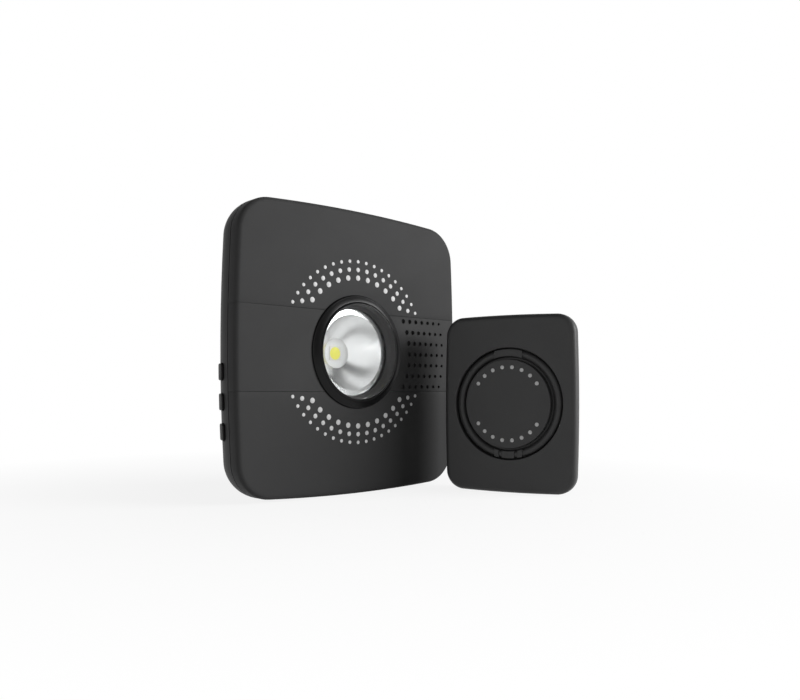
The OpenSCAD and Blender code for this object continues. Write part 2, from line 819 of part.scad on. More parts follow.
module capacitors() {
  color("#3a4468") stand() {
    translate([row_last, low_row, board_top]) cylinder(r = big_cap[0], h = big_cap[1]);
    for (at = [[row_place(small_cap_share), low_row], [side_column, -small_cap_drop]])
      translate([at[0], at[1], board_top]) cylinder(r = small_cap[0], h = small_cap[1]);
  }
}

module button_switches() {
  color(chip_black) stand() for (y = button_heights) difference() {
    translate([-switch_face, y - switch_wide / 2, board_top]) cube([switch_deep, switch_wide, switch_high]);
    translate([-switch_face - past, y, stem_line]) rotate([0, 90, 0])
      cylinder(r = plunger_radius + button_play, h = past + plunger_in + button_travel + button_play);
  }
}

// A side button: its cap follows the housing's curve, and its skirt keeps it in
module side_button(y) {
  skirt_face = guide_face - seam;
  stem_end = switch_face + plunger_out;
  color(button_black) stand() translate([0, y, 0]) {
    intersection() {
      translate([0, 0, button_line]) side_prism(-half - 2 * button_proud, -skirt_face + join,
        button_height - 2 * button_play, button_width - 2 * button_play, button_round - button_play);
      translate([0, -y, 0]) left_flank(button_proud);
    }
    translate([0, 0, button_line]) side_prism(-skirt_face, -skirt_face + skirt_thick,
      button_height + 2 * button_skirt, button_width + 2 * button_skirt, button_round);
    translate([-skirt_face, 0, stem_line]) rotate([0, 90, 0])
      cylinder(r = stem_radius, h = skirt_face - stem_end);
  }
}

module side_plunger(y) {
  color("#d9d4c4") stand() translate([-switch_face - plunger_out, y, stem_line]) rotate([0, 90, 0])
    cylinder(r = plunger_radius, h = plunger_out + plunger_in);
}

module upper_button() side_button(button_heights[0]);
module middle_button() side_button(button_heights[1]);
module lower_button() side_button(button_heights[2]);
module upper_plunger() side_plunger(button_heights[0]);
module middle_plunger() side_plunger(button_heights[1]);
module lower_plunger() side_plunger(button_heights[2]);

// Power inlet on the right
module power_jack() {
  color(chip_black) stand() difference() {
    union() {
      translate([jack_front - jack_long, -jack_drop - jack_wide / 2, board_top])
        cube([jack_long, jack_wide, jack_high]);
      translate([jack_front - join, -jack_drop, jack_line]) rotate([0, 90, 0])
        cylinder(r = snout_radius, h = snout_end - jack_front + join);
    }
    translate([snout_end - socket_deep, -jack_drop, jack_line]) rotate([0, 90, 0])
      cylinder(r = socket_radius, h = socket_deep + past);
  }
}

module jack_pin() {
  color(brass_yellow) stand() translate([snout_end - socket_deep, -jack_drop, jack_line]) rotate([0, 90, 0])
    cylinder(r = pin_radius, h = pin_long);
}

module housing_screws() {
  color(metal_grey) stand() quarters(post_x, post_y) translate([0, 0, screw_seat])
    screw(screw_radius, screw_head_radius, screw_head_height, screw_length);
}

module board_screws() {
  color(metal_grey) stand() quarters(standoff_x, standoff_y) translate([0, 0, board_top]) mirror([0, 0, 1])
    screw(board_screw_radius, board_screw_head, 1.4, board_screw_length);
}

// Door sensor
module sensor_front_shell() {
  side_depth = sensor_face - sensor_part - seam;
  color(sensor_black) stand_sensor() difference() {
    union() {
      translate([0, 0, sensor_face]) lid(sensor_outline, sensor_wall, sensor_edge, side_depth, sensor_reach);
      translate([0, 0, well_floor_top - well_floor])
        cylinder(r = well_radius + well_side,
          h = sensor_face - well_floor_top + well_floor - sensor_wall / 2);
      quarters(sensor_post_x, sensor_post_y) translate([0, 0, sensor_part + seam])
        cylinder(r = sensor_post - 0.6, h = side_depth - sensor_wall + join);
    }
    translate([0, 0, well_floor_top]) cylinder(r = well_radius, h = sensor_face);
    translate([0, 0, -past]) cylinder(r = cover_hole, h = sensor_face);
    for (k = [0:tab_count - 1])
      rotate([0, 0, 90 + 360 / tab_count * (k + 0.5) - (tab_turn + notch_slack) / 2])
      translate([0, 0, well_floor_top - well_floor - past]) rotate_extrude(angle = tab_turn + notch_slack)
        translate([cover_hole - past, 0]) square([past + tab_reach + shank_play, well_floor + 2 * past]);
    quarters(sensor_post_x, sensor_post_y)
      cylinder(r = sensor_screw + thread_play, h = sensor_screw_seat + sensor_screw_length);
  }
}

// Area inside the sensor's leaning side, drawn in by an inset, with the rounding of the back edge
module lean_area(inset) {
  r = sensor_back_edge - inset;
  far = -2 * sensor_corner;
  middle = [-lean_inset, sensor_back_edge];
  touch = middle + (r - slope_lap) * [cos(sensor_lean), -sin(sensor_lean)];
  top = sensor_part + past;
  translate(middle) circle(r, $fn = 48);
  polygon([middle, touch, [touch[0] + (top - touch[1]) * tan(sensor_lean), top], [far, top], [far, inset],
    [-lean_inset, inset]]);
}

module lean_profile() {
  clip = lean_inset + lean_lap;
  intersection() {
    difference() {
      lean_area(0);
      lean_area(sensor_wall);
    }
    translate([-clip, 0]) square([clip + past, sensor_part]);
  }
}

module sensor_rear_shell() {
  color(sensor_black) stand_sensor() difference() {
    union() {
      sweep_around(sensor_outline) lean_profile();
      linear_extrude(sensor_wall) outline_core(sensor_outline, 2 * lean_inset + lean_lap);
      quarters(sensor_post_x, sensor_post_y) translate([0, 0, sensor_wall - join])
        cylinder(r = sensor_post, h = sensor_part - sensor_wall + join);
      quarters(sensor_stand_x, sensor_stand_y) translate([0, 0, sensor_wall - join])
        cylinder(r = sensor_stand, h = sensor_board_back - sensor_wall + join);
    }
    quarters(sensor_post_x, sensor_post_y) {
      translate([0, 0, -past]) cylinder(r = sensor_screw_head + head_play, h = sensor_screw_seat + past);
      cylinder(r = sensor_screw + shank_play, h = sensor_face);
    }
    quarters(sensor_stand_x, sensor_stand_y) translate([0, 0, sensor_board_back - small_length])
      cylinder(r = small_screw + thread_play, h = small_length + past);
  }
}

// Twist-off battery cover: disc, groove, rounded ring with grip pads, skirt and bayonet tabs
module grip_pads() {
  pad_low = flange_top;
  intersection() {
    translate([0, 0, pad_low]) difference() {
      cylinder(r = cover_rim - 0.2, h = pad_top - pad_low);
      translate([0, 0, -past]) cylinder(r = ring_inner + 0.3, h = sensor_face);
    }
    union() {
      translate([-pad_wide / 2, 0, 0]) cube([pad_wide, well_radius, sensor_face]);
      translate([-pad_middle / 2, -well_radius, 0]) cube([pad_middle, well_radius, sensor_face]);
      for (m = [0, 1]) mirror([m, 0, 0]) translate([pad_middle / 2 + pad_slot, -well_radius, 0])
        cube([(pad_wide - pad_middle) / 2 - pad_slot, well_radius, sensor_face]);
    }
  }
}

module battery_cover() {
  disc_top = sensor_face + disc_proud;
  skirt_end = tab_top - tab_thick - 0.4;
  inner = disc_radius - 2;
  color(sensor_black) stand_sensor() {
    rotate_extrude() {
      translate([0, disc_top - cover_skin]) square([disc_radius - disc_edge, cover_skin]);
      translate([disc_radius - disc_edge, disc_top - disc_edge]) circle(disc_edge);
      translate([inner, flange_bottom]) square([disc_radius - inner, disc_top - disc_edge - flange_bottom]);
      translate([inner, flange_bottom]) square([cover_rim - inner, flange_thick]);
      translate([ring_inner, flange_top - join])
        square([2 * ring_round, ring_top - ring_round - flange_top + join]);
      intersection() {
        translate([ring_inner + ring_round, ring_top - ring_round]) circle(ring_round);
        translate([ring_inner, ring_top - ring_round]) square([2 * ring_round, ring_round]);
      }
      translate([cover_skirt - 1.6, skirt_end]) square([1.6, flange_bottom - skirt_end + join]);
    }
    grip_pads();
    for (k = [0:tab_count - 1]) rotate([0, 0, 90 + 360 / tab_count * k - tab_turn / 2])
      rotate_extrude(angle = tab_turn) translate([cover_skirt - join, tab_top - tab_thick])
        square([tab_reach + join, tab_thick]);
  }
}

module cover_dots() {
  color(dot_white) stand_sensor() for (flip = [0, 180], k = [-3.5:3.5])
    rotate([0, 0, flip + k * cover_dot_turn]) translate([0, cover_dot_ring, sensor_face + disc_proud])
      cylinder(d = cover_dot_diameter, h = dot_thick, $fn = 32);
}

module coin_cell() {
  can_edge = 0.5;
  color(metal_grey) stand_sensor() rotate_extrude() {
    translate([0, cell_top - cell_thick]) square([cell_radius - 1, cell_thick]);
    translate([0, cell_top - cell_thick + 1]) square([cell_radius, cell_thick - 1 - can_edge]);
    translate([cell_radius - can_edge, cell_top - can_edge]) circle(can_edge);
    translate([0, cell_top - can_edge]) square([cell_radius - can_edge, can_edge]);
  }
}

// Spring clip that bridges the cell's top and stands on the board at both sides
module cell_clip() {
  strip = 5;
  sheet = 0.5;
  rise = cell_top - sensor_board_top;
  color(brass_yellow) stand_sensor() {
    translate([-cell_radius - slip - sheet, -strip / 2, cell_top])
      cube([2 * (cell_radius + slip + sheet), strip, sheet]);
    for (m = [0, 1]) mirror([m, 0, 0]) {
      translate([cell_radius + slip, -strip / 2, sensor_board_top]) cube([sheet, strip, rise + sheet]);
      translate([cell_radius + slip, -strip / 2, sensor_board_top]) cube([4, strip, sheet]);
    }
  }
}

module cell_contact() {
  color(brass_yellow) stand_sensor() translate([0, 0, sensor_board_top])
    cylinder(r = cell_radius - 3, h = contact_thick);
}

module sensor_board() {
  color(board_green) stand_sensor() difference() {
    translate([-sensor_board_x, -sensor_board_y, sensor_board_back])
      cube([2 * sensor_board_x, 2 * sensor_board_y, sensor_board_thick]);
    quarters(sensor_stand_x, sensor_stand_y) translate([0, 0, sensor_board_back - past])
      cylinder(r = small_screw + shank_play, h = sensor_board_thick + 2 * past);
  }
}

module sensor_chips() {
  color(chip_black) stand_sensor() {
    block(-radio_chip_x, sensor_row, radio_chip_size, sensor_board_top);
    block(flash_chip_x, sensor_row, flash_chip_size, sensor_board_top);
    block(radio_chip_x, -sensor_row, crystal_size, sensor_board_top);
  }
}

// Ball switch that tells an upright door from a raised one
module tilt_switch() {
  color(metal_grey) stand_sensor()
    translate([tilt_x, -sensor_row, sensor_board_top + tilt_can]) rotate([0, 90, 0])
    cylinder(r = tilt_can, h = tilt_long);
}

module sensor_screws() {
  color(metal_grey) stand_sensor() quarters(sensor_post_x, sensor_post_y) translate([0, 0, sensor_screw_seat])
    screw(sensor_screw, sensor_screw_head, sensor_screw_head_high, sensor_screw_length);
}

module sensor_board_screws() {
  color(metal_grey) stand_sensor()
    quarters(sensor_stand_x, sensor_stand_y) translate([0, 0, sensor_board_top])
    mirror([0, 0, 1]) screw(small_screw, small_head, small_head_high, small_length);
}

hub_front_cover();
left_trim();
grille_trim();
hub_rear_housing();
front_dots();
lamp_bezel();
lamp_lens();
lamp_reflector();
lamp_board();
led_package();
led_phosphor();
speaker_gasket();
speaker_frame();
speaker_cone();
speaker_magnet();
main_board();
wifi_module();
wifi_shield();
radio_module();
board_chips();
capacitors();
button_switches();
upper_button();
middle_button();
lower_button();
upper_plunger();
middle_plunger();
lower_plunger();
power_jack();
jack_pin();
housing_screws();
board_screws();
sensor_front_shell();
sensor_rear_shell();
battery_cover();
cover_dots();
coin_cell();
cell_clip();
cell_contact();
sensor_board();
sensor_chips();
tilt_switch();
sensor_screws();
sensor_board_screws();
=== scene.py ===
import json
import math

import bmesh
import bpy
from mathutils import Matrix, Vector


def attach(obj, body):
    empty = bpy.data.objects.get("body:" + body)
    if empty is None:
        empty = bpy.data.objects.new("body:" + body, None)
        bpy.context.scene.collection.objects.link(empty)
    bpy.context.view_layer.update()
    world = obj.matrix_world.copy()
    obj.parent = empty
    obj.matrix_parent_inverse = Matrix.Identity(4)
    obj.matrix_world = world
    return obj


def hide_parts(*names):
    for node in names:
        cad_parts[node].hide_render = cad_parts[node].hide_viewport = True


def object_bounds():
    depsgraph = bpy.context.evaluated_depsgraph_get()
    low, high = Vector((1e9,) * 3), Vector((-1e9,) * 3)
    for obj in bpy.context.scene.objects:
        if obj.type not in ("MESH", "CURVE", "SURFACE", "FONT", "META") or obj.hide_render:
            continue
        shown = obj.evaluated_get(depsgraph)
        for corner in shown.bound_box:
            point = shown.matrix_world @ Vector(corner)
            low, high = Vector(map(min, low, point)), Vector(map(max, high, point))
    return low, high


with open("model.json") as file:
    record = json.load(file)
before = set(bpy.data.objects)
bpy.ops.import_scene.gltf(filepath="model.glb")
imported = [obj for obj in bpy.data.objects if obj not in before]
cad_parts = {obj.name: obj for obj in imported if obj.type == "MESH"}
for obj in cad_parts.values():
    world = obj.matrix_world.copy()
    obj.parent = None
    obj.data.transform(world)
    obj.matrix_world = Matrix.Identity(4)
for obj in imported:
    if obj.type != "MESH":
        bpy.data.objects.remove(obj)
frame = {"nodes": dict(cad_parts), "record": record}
cad_low, cad_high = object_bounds()

# Sizes in millimetres. A piece is laid out on its back, front up, and then stood up in its place.
MM = 0.001

# Outlines: width, height, corner radius and the angle at which a bowed side meets its corner
HUB = (136, 137.8, 17.5, 3.4)
SENSOR = (68, 87.4, 9.5, 2)

# Lids of both housings: rounding of the skirt's rim and least rounding inside an edge
LID_LIP = 0.25
LEAST_EDGE = 0.2

# Hub: front cover, the channel across it, the trim in the channel and the rear housing's round flank
FACE = 27.5
HUB_EDGE = 2.1
HUB_FLAT = 1.2
SKIRT = 6.3
WALL = 2.4
CHANNEL_HALF = 19.3
CHANNEL_DEPTH = 1.25
TRIM_HALF = 19.24
TRIM_THICK = 1.15
EDGE_SOFT = 0.07
BOWL_TOP = 19.5
BOWL_ROUND = 17.5

# Sound holes, and their cutter's profile: distance outside the hole's radius and height over the face
GRILLE_ROWS = 7
GRILLE_ARCS = 7
GRILLE_START = 34.4
GRILLE_PITCH = 4
GRILLE_ROW_PITCH = 5.6
GRILLE_HOLE = 2.3
GRILLE_STEP = 0.15
GRILLE_PROFILE = ((0, -3), (0, -0.16), (0.05, -0.06), (0.14, 0.02), (0.54, 0.6))

# Lamp bezel, with the crease's half widths and depths, and the throat's insets and depths below the face
BEZEL_HOLE = 25.35
HOLE_EDGE = BEZEL_HOLE + EDGE_SOFT
BEZEL_RADIUS = 27.6
BEZEL_EDGE = 0.8
BEZEL_RISE = 1
BEZEL_PROUD = 2.3
BEZEL_GAP = 0.02
BEZEL_MIDDLE = 26.3
BEZEL_SLEEVE = 25.2
SLEEVE_LENGTH = 6.6
CREASE = 24.1
CREASE_PROFILE = ((0.32, 0), (0.2, 0.03), (0.06, 0.2))
LIP = 22.7
LIP_ROUND = 0.4
LIP_END = 175
THROAT_PROFILE = ((0.08, 0.75), (0.2, 1), (0.35, 1.2))
MOUTH = 21.2
MOUTH_GAP = 0.02
MOUTH_ROUND = 0.2
MOUTH_START = 165
FLARE_WIDTH = 0.14
FLARE_HEIGHT = 0.5

# Lens, reflector and light source
LENS_RADIUS = 22.4
LENS_SEAT = 22.55
LENS_TOP = 24.1
LENS_LOW = LENS_TOP - 1.2
LENS_BEVEL = 0.2
LENS_GAP = 0.02
NECK_RADIUS = 7.5
NECK_TOP = 10.15
RIM_RADIUS = 18.6
RIM_THICK = 1.2
REFLECTOR_SKIN = 1
REFLECTOR_BULGE = 0.9
LAMP_BOARD_TOP = 8.5
LED_HEIGHT = 0.5
PHOSPHOR_RADIUS = 3.2
PHOSPHOR_EDGE = 0.08
PHOSPHOR_DOME = 0.15
PHOSPHOR_RINGS = (0.95, 0.8, 0.6, 0.35)

# Rings of printed dots: radius, dot diameter, turn between dots and dots in each of the two fans
HUB_DOTS = ((36, 2.6, 9.9, 11), (40, 2.2, 8, 15), (44, 1.7, 6.75, 19))
COVER_DOTS = ((18, 1.9, 16.2, 8),)
DOT_THICK = 0.08
DOT_RIM_WIDTH = 0.06
DOT_RIM_DEPTH = 0.03

# Side buttons, with their places up the hub's left side
BUTTON_LINE = 14.1
BUTTON_HEIGHT = 7.5
BUTTON_WIDTH = 6.9
BUTTON_ROUND = 1.55
BUTTON_LEAST_ROUND = 0.25
BUTTON_PROUD = 1
BUTTON_SOFT = 0.6
BUTTON_INSETS = (1.2, 1.9, 2.6)
BUTTON_DISH = 0.05
BUTTON_SKIRT = 1.2
BUTTON_SKIRT_FACE = 60.5
BUTTON_SKIRT_ROUNDING = 0.2
BUTTON_PLACES = {"upper_button": -10.5, "middle_button": -23.8, "lower_button": -37.1}

# Door sensor: front shell with the well in which the battery cover turns
SENSOR_FACE = 19
SENSOR_EDGE = 2.4
SENSOR_FLAT = 0.8
SENSOR_WALL = 2
SENSOR_SEAM_TOP = 13.9
WELL = 27.5
WELL_RIM = 0.45
WELL_MARGIN = 0.3
WELL_SOFT = 0.25
WELL_WALL = 1.8
WELL_FLOOR = 14.8
WELL_FLOOR_THICK = 1.4
COVER_HOLE = 23.6

# Battery cover: raised disc, groove, flange with a rounded ring, and the skirt below
DISC = 21.8
DISC_TOP = 19.8
DISC_EDGE = 0.4
DISC_MARGIN = 1.4
DISC_THICK = 2.2
DISC_HOLLOW = 19.8
GROOVE_ROUND = 0.3
FLANGE_BOTTOM = 15.1
FLANGE_TOP = 16.3
RING_INNER = 23
RING_TOP = 18.4
COVER_RIM = 27
COVER_BEVEL = 0.2
COVER_SKIRT_INNER = 21.6
COVER_SKIRT_OUTER = 23.2
COVER_SKIRT_BOTTOM = 11.4

# Grip pads on the ring: from and to across, and on which side of the middle
PADS = ((-7.3, 7.3, 1), (-3.3, 3.3, -1), (4.7, 7.3, -1), (-7.3, -4.7, -1))
PAD_INNER = RING_INNER + 0.25
PAD_OUTER = COVER_RIM - 0.15
PAD_BOTTOM = FLANGE_TOP - 0.3
PAD_TOP = 18.8
PAD_SOFT = 0.28

# Case screws: places across and up, and the seat, length, shank radius, head radius and head height
HUB_POST = (36, 47.9)
HUB_SCREW = (7.4, 12, 1.5, 2.8, 2)
SENSOR_POST = (23, 32.7)
SENSOR_SCREW = (4, 12.4, 1.2, 2.2, 1.6)
# Shares of the head: its rounding, the cross's length and half width, and its rows' size and depth
SCREW_SOFT = 0.45
CROSS_LONG = 0.62
CROSS_THIN = 0.17
CROSS_ROWS = ((1.1, 1.2), (0.7, 0.35))

# Steps along outlines and profiles, steps round turned pieces, and angles that shade as sharp
SIDE_STEPS = 10
CORNER_STEPS = 18
HOLE_STEPS = 40
LIP_STEPS = 3
FILLET_STEPS = 8
SOFT_STEPS = 3
REFLECTOR_STEPS = 24
BUTTON_CORNER_STEPS = 6
BUTTON_EDGE_STEPS = 4
PAD_STEPS = 12
LAMP_TURNS = 192
COVER_TURNS = 180
PHOSPHOR_TURNS = 64
SCREW_TURNS = 48
SMALL_TURNS = 28
SHARP = 38
LENS_SHARP = 30
BUTTON_SHARP = 50


# Places

def stood_up(origin, turn):
    """Matrix from a piece lying on its back, in millimetres, to its place in the frame."""
    tip = Matrix.Rotation(math.radians(90), 4, "X")
    return Matrix.Translation(origin) @ Matrix.Rotation(turn, 4, "Z") @ tip @ Matrix.Scale(MM, 4)


def mount(name):
    return next(m for m in frame["record"]["mounts"] if m["name"] == name)


sensor_back = mount("sensor_back")
back_x, back_y, _ = sensor_back["axis"]
HUB_PLACE = stood_up(mount("wall_face")["pos_m"], 0)
SENSOR_PLACE = stood_up(sensor_back["pos_m"], math.atan2(-back_x, back_y))


# Outlines: each point is x, y and the outward direction there

def arc(x, y, radius, start, end, steps):
    """Points on an arc between two angles in degrees."""
    angles = [math.radians(start + (end - start) * i / steps) for i in range(steps + 1)]
    return [(x + radius * math.cos(a), y + radius * math.sin(a)) for a in angles]


def corner_place(shape):
    """Middle of the upper right corner's circle, which meets both bowed sides smoothly."""
    width, height, corner, bow = shape
    lean = math.tan(math.radians(bow) / 2)
    across, up = width / 2 - corner, height / 2 - corner
    return (across - lean * up) / (1 - lean ** 2), (up - lean * across) / (1 - lean ** 2)


def bow_radius(shape, reach):
    """Radius of a bowed side whose corner circles lie a reach from its middle."""
    return shape[2] + reach / math.sin(math.radians(shape[3]))


def side_line(shape, inset, low, high, steps=SIDE_STEPS):
    """The right side between two heights; high None means up to the corner."""
    radius = bow_radius(shape, corner_place(shape)[1])
    middle = shape[0] / 2 - radius
    reach = radius - inset
    top = reach * math.sin(math.radians(shape[3])) if high is None else high
    heights = [low + (top - low) * i / steps for i in range(steps + 1)]
    return [(middle + math.sqrt(reach ** 2 - y ** 2), y, math.sqrt(1 - (y / reach) ** 2), y / reach)
            for y in heights]


def round_line(x, y, radius, inset, start, end, steps):
    points = arc(x, y, radius - inset, start, end, steps)
    return [(px, py, (px - x) / (radius - inset), (py - y) / (radius - inset)) for px, py in points]


def corner_line(shape, inset):
    x, y = corner_place(shape)
    return round_line(x, y, shape[2], inset, shape[3], 90 - shape[3], CORNER_STEPS)


def end_line(shape, inset, start, end):
    radius = bow_radius(shape, corner_place(shape)[0])
    return round_line(0, shape[1] / 2 - radius, radius, inset, start, end, 2 * SIDE_STEPS)


def flipped(line, x_sign, y_sign):
    return [(x * x_sign, y * y_sign, nx * x_sign, ny * y_sign) for x, y, nx, ny in line]


def lobe_line(shape, inset, cut):
    """From the right side at a height over the top to the left side at that height."""
    right = side_line(shape, inset, cut, None) + corner_line(shape, inset)[1:]
    top = end_line(shape, inset, 90 - shape[3], 90 + shape[3])
    return right + top[1:-1] + flipped(right[::-1], -1, 1)


def whole_line(shape, inset):
    """All the way round, once."""
    upper = lobe_line(shape, inset, 0)
    return upper[:-1] + flipped(upper, -1, -1)[:-1]


# Profiles: each row is an inset, a height and the lean of the outward direction from level

def lid_rows(inset, edge, low, top, flat):
    """Outer rows of a lid from the rim of its skirt over its rounded edge to a flat strip of its face."""
    rows = []
    for step in range(LIP_STEPS + 1):
        lean = math.radians(-90 + 90 * step / LIP_STEPS)
        rows.append((inset + LID_LIP - LID_LIP * math.cos(lean),
                     low + LID_LIP + LID_LIP * math.sin(lean), lean))
    for step in range(FILLET_STEPS + 1):
        lean = math.radians(90 * step / FILLET_STEPS)
        rows.append((inset + edge - edge * math.cos(lean), top - edge + edge * math.sin(lean), lean))
    rows.append((inset + edge + flat, top, math.radians(90)))
    return rows


def inside_rows(rows, thick, inset, edge, top, flat):
    """Rows of the same lid's inner skin, one for each outer row."""
    found = []
    for row_inset, height, lean in rows[:LIP_STEPS + 1]:
        found.append((inset + thick - (row_inset - inset), height, lean))
    inner_edge = max(edge - thick, LEAST_EDGE)
    for _, _, lean in rows[LIP_STEPS + 1:-1]:
        found.append((inset + thick + inner_edge * (1 - math.cos(lean)),
                      top - thick - inner_edge * (1 - math.sin(lean)), lean))
    found.append((inset + edge + flat, top - thick, math.radians(90)))
    return found


# Meshes

class Mesh:
    """Points and faces that are gathered before they become a piece."""

    def __init__(self):
        self.points = []
        self.faces = []

    def add(self, points):
        start = len(self.points)
        self.points.extend(points)
        return list(range(start, len(self.points)))

    def bridge(self, a, b, closed):
        """Faces between two rings of as many points, or between two open lines."""
        count = len(a)
        for i in range(count if closed else count - 1):
            j = (i + 1) % count
            self.faces.append((a[i], a[j], b[j], b[i]))

    def skin(self, rings, closed):
        for a, b in zip(rings, rings[1:]):
            self.bridge(a, b, closed)

    def join(self, other, change=None):
        """Takes in another mesh, each of its points changed on the way."""
        start = len(self.points)
        self.points.extend([change(p) if change else p for p in other.points])
        self.faces.extend([tuple(i + start for i in face) for face in other.faces])
        return self


def mirrored_x(point):
    return (-point[0], point[1], point[2])


def mirrored_y(point):
    return (point[0], -point[1], point[2])


def shifted(x, y):
    return lambda point: (point[0] + x, point[1] + y, point[2])


def loft(rows, joined):
    """A skin through rings of as many points each, whose ends are joined to each other or capped."""
    mesh = Mesh()
    rings = [mesh.add(row) for row in rows]
    mesh.skin(rings, True)
    if joined:
        mesh.bridge(rings[-1], rings[0], True)
    else:
        mesh.faces += [tuple(rings[0]), tuple(rings[-1])]
    return mesh


def lathe(profile, steps):
    """Turns a profile of radius and height. One with its ends on the axis gets a pole at each end."""
    turns = [2 * math.pi * i / steps for i in range(steps)]
    has_poles = profile[0][0] == 0
    turned = profile[1:-1] if has_poles else profile
    mesh = Mesh()
    rings = [mesh.add([(r * math.cos(t), r * math.sin(t), z) for t in turns]) for r, z in turned]
    mesh.skin(rings, True)
    if not has_poles:
        mesh.bridge(rings[-1], rings[0], True)
        return mesh
    for ring, (_, height) in ((rings[0], profile[0]), (rings[-1], profile[-1])):
        pole = mesh.add([(0, 0, height)])[0]
        for i in range(steps):
            mesh.faces.append((ring[i], ring[(i + 1) % steps], pole))
    return mesh


def patch(line_at, outer, inner, face_points, cut_sides):
    """A shell over an open stretch of an outline, closed by a face and by a wall along its softened cut.

    line_at gives the stretch at an inset, face_points the rest of the face's edge, each x, y and the
    sideways direction across the cut, and cut_sides that direction at the stretch's last and first end.
    """
    mesh = Mesh()
    skins = (outer, inner)

    def laid(inset, height):
        return mesh.add([(x, y, height) for x, y, _, _ in line_at(inset)])

    grids = [[laid(inset, height) for inset, height, _ in rows] for rows in skins]
    for grid in grids:
        mesh.skin(grid, False)
    mesh.bridge(grids[0][0], grids[1][0], False)
    paths = []
    for grid, rows in zip(grids, skins):
        rest = mesh.add([(x, y, rows[-1][1]) for x, y, _ in face_points])
        mesh.faces.append(tuple(grid[-1] + rest))
        paths.append([ring[-1] for ring in grid] + rest + [ring[0] for ring in grid[::-1]])

    def along_end(end, side):
        """Directions across the cut and into the shell, up one end of the stretch."""
        found = []
        for inset, _, lean in outer:
            _, _, nx, ny = line_at(inset)[end]
            depth = Vector((-nx * math.cos(lean), -ny * math.cos(lean), -math.sin(lean)))
            found.append((Vector((side[0], side[1], 0)), depth))
        return found

    directions = along_end(-1, cut_sides[0])
    directions += [(Vector((across[0], across[1], 0)), Vector((0, 0, -1))) for _, _, across in face_points]
    directions += along_end(0, cut_sides[1])[::-1]
    path, back_path = paths
    first_end, last_end = [path[0]], [path[-1]]
    last = path
    for step in range(1, SOFT_STEPS + 1):
        lean = math.radians(90 * step / SOFT_STEPS)
        moved = []
        for index, (across, depth) in zip(path, directions):
            shift = across * EDGE_SOFT * math.sin(lean) + depth * EDGE_SOFT * (1 - math.cos(lean))
            moved.append(tuple(Vector(mesh.points[index]) + shift))
        ring = mesh.add(moved)
        mesh.bridge(last, ring, False)
        first_end.append(ring[0])
        last_end.append(ring[-1])
        last = ring
    mesh.bridge(last, back_path, False)
    mesh.faces.append(tuple(first_end + [back_path[0]]))
    mesh.faces.append(tuple(last_end + [back_path[-1]]))
    return mesh


# Node trees and materials
NOISE_ROUGHNESS = 0.55
# Where most of a noise lies
NOISE_LOW = 0.3
NOISE_HIGH = 0.7
# How far a plastic's tone and roughness drift
TONE_DRIFT = 0.03
SHINE_DRIFT = 0.015
# Width of the step from the bezel's wall, painted paler as painted light, to its ring
RING_BLEND = 0.3 * MM


class Graph:
    """A node tree, with short ways to add what the materials and the world need."""

    def __init__(self, tree):
        self.nodes = tree.nodes
        self.links = tree.links

    def coordinates(self, kind):
        return self.nodes.new("ShaderNodeTexCoord").outputs[kind]

    def noise(self, scale, detail):
        """A noise over the object's own coordinates, in features per metre."""
        noise = self.nodes.new("ShaderNodeTexNoise")
        noise.inputs["Scale"].default_value = scale
        noise.inputs["Detail"].default_value = detail
        noise.inputs["Roughness"].default_value = NOISE_ROUGHNESS
        self.links.new(self.coordinates("Object"), noise.inputs["Vector"])
        return noise.outputs["Fac"]

    def mapped(self, value, low, high, start=NOISE_LOW, end=NOISE_HIGH):
        """Spreads what lies between start and end over the range from low to high."""
        spread = self.nodes.new("ShaderNodeMapRange")
        spread.inputs["From Min"].default_value = start
        spread.inputs["From Max"].default_value = end
        spread.inputs["To Min"].default_value = low
        spread.inputs["To Max"].default_value = high
        self.links.new(value, spread.inputs["Value"])
        return spread.outputs["Result"]

    def vector_math(self, operation, vector, other=None):
        node = self.nodes.new("ShaderNodeVectorMath")
        node.operation = operation
        self.links.new(vector, node.inputs[0])
        if other:
            node.inputs[1].default_value = other
        return node.outputs

    def combined(self, operation, first, second):
        node = self.nodes.new("ShaderNodeMath")
        node.operation = operation
        self.links.new(first, node.inputs[0])
        self.links.new(second, node.inputs[1])
        return node.outputs[0]

    def facing(self, direction, start, end):
        """How white a panel in a given direction makes the surround there."""
        turned = self.vector_math("DOT_PRODUCT", self.coordinates("Generated"), direction)
        return self.mapped(turned["Value"], 0, 1, start, end)

    def ray_kinds(self):
        """Whether a ray comes from the camera, and whether it comes by a mirror or through glass."""
        path = self.nodes.new("ShaderNodeLightPath").outputs
        mirrored = self.combined("MAXIMUM", path["Is Glossy Ray"], path["Is Transmission Ray"])
        return path["Is Camera Ray"], mirrored

    def show(self, output, first, second, share):
        """Mixes two shaders into the tree's output."""
        mix = self.nodes.new("ShaderNodeMixShader")
        self.links.new(share, mix.inputs["Fac"])
        self.links.new(first, mix.inputs[1])
        self.links.new(second, mix.inputs[2])
        self.links.new(mix.outputs["Shader"], self.nodes[output].inputs["Surface"])


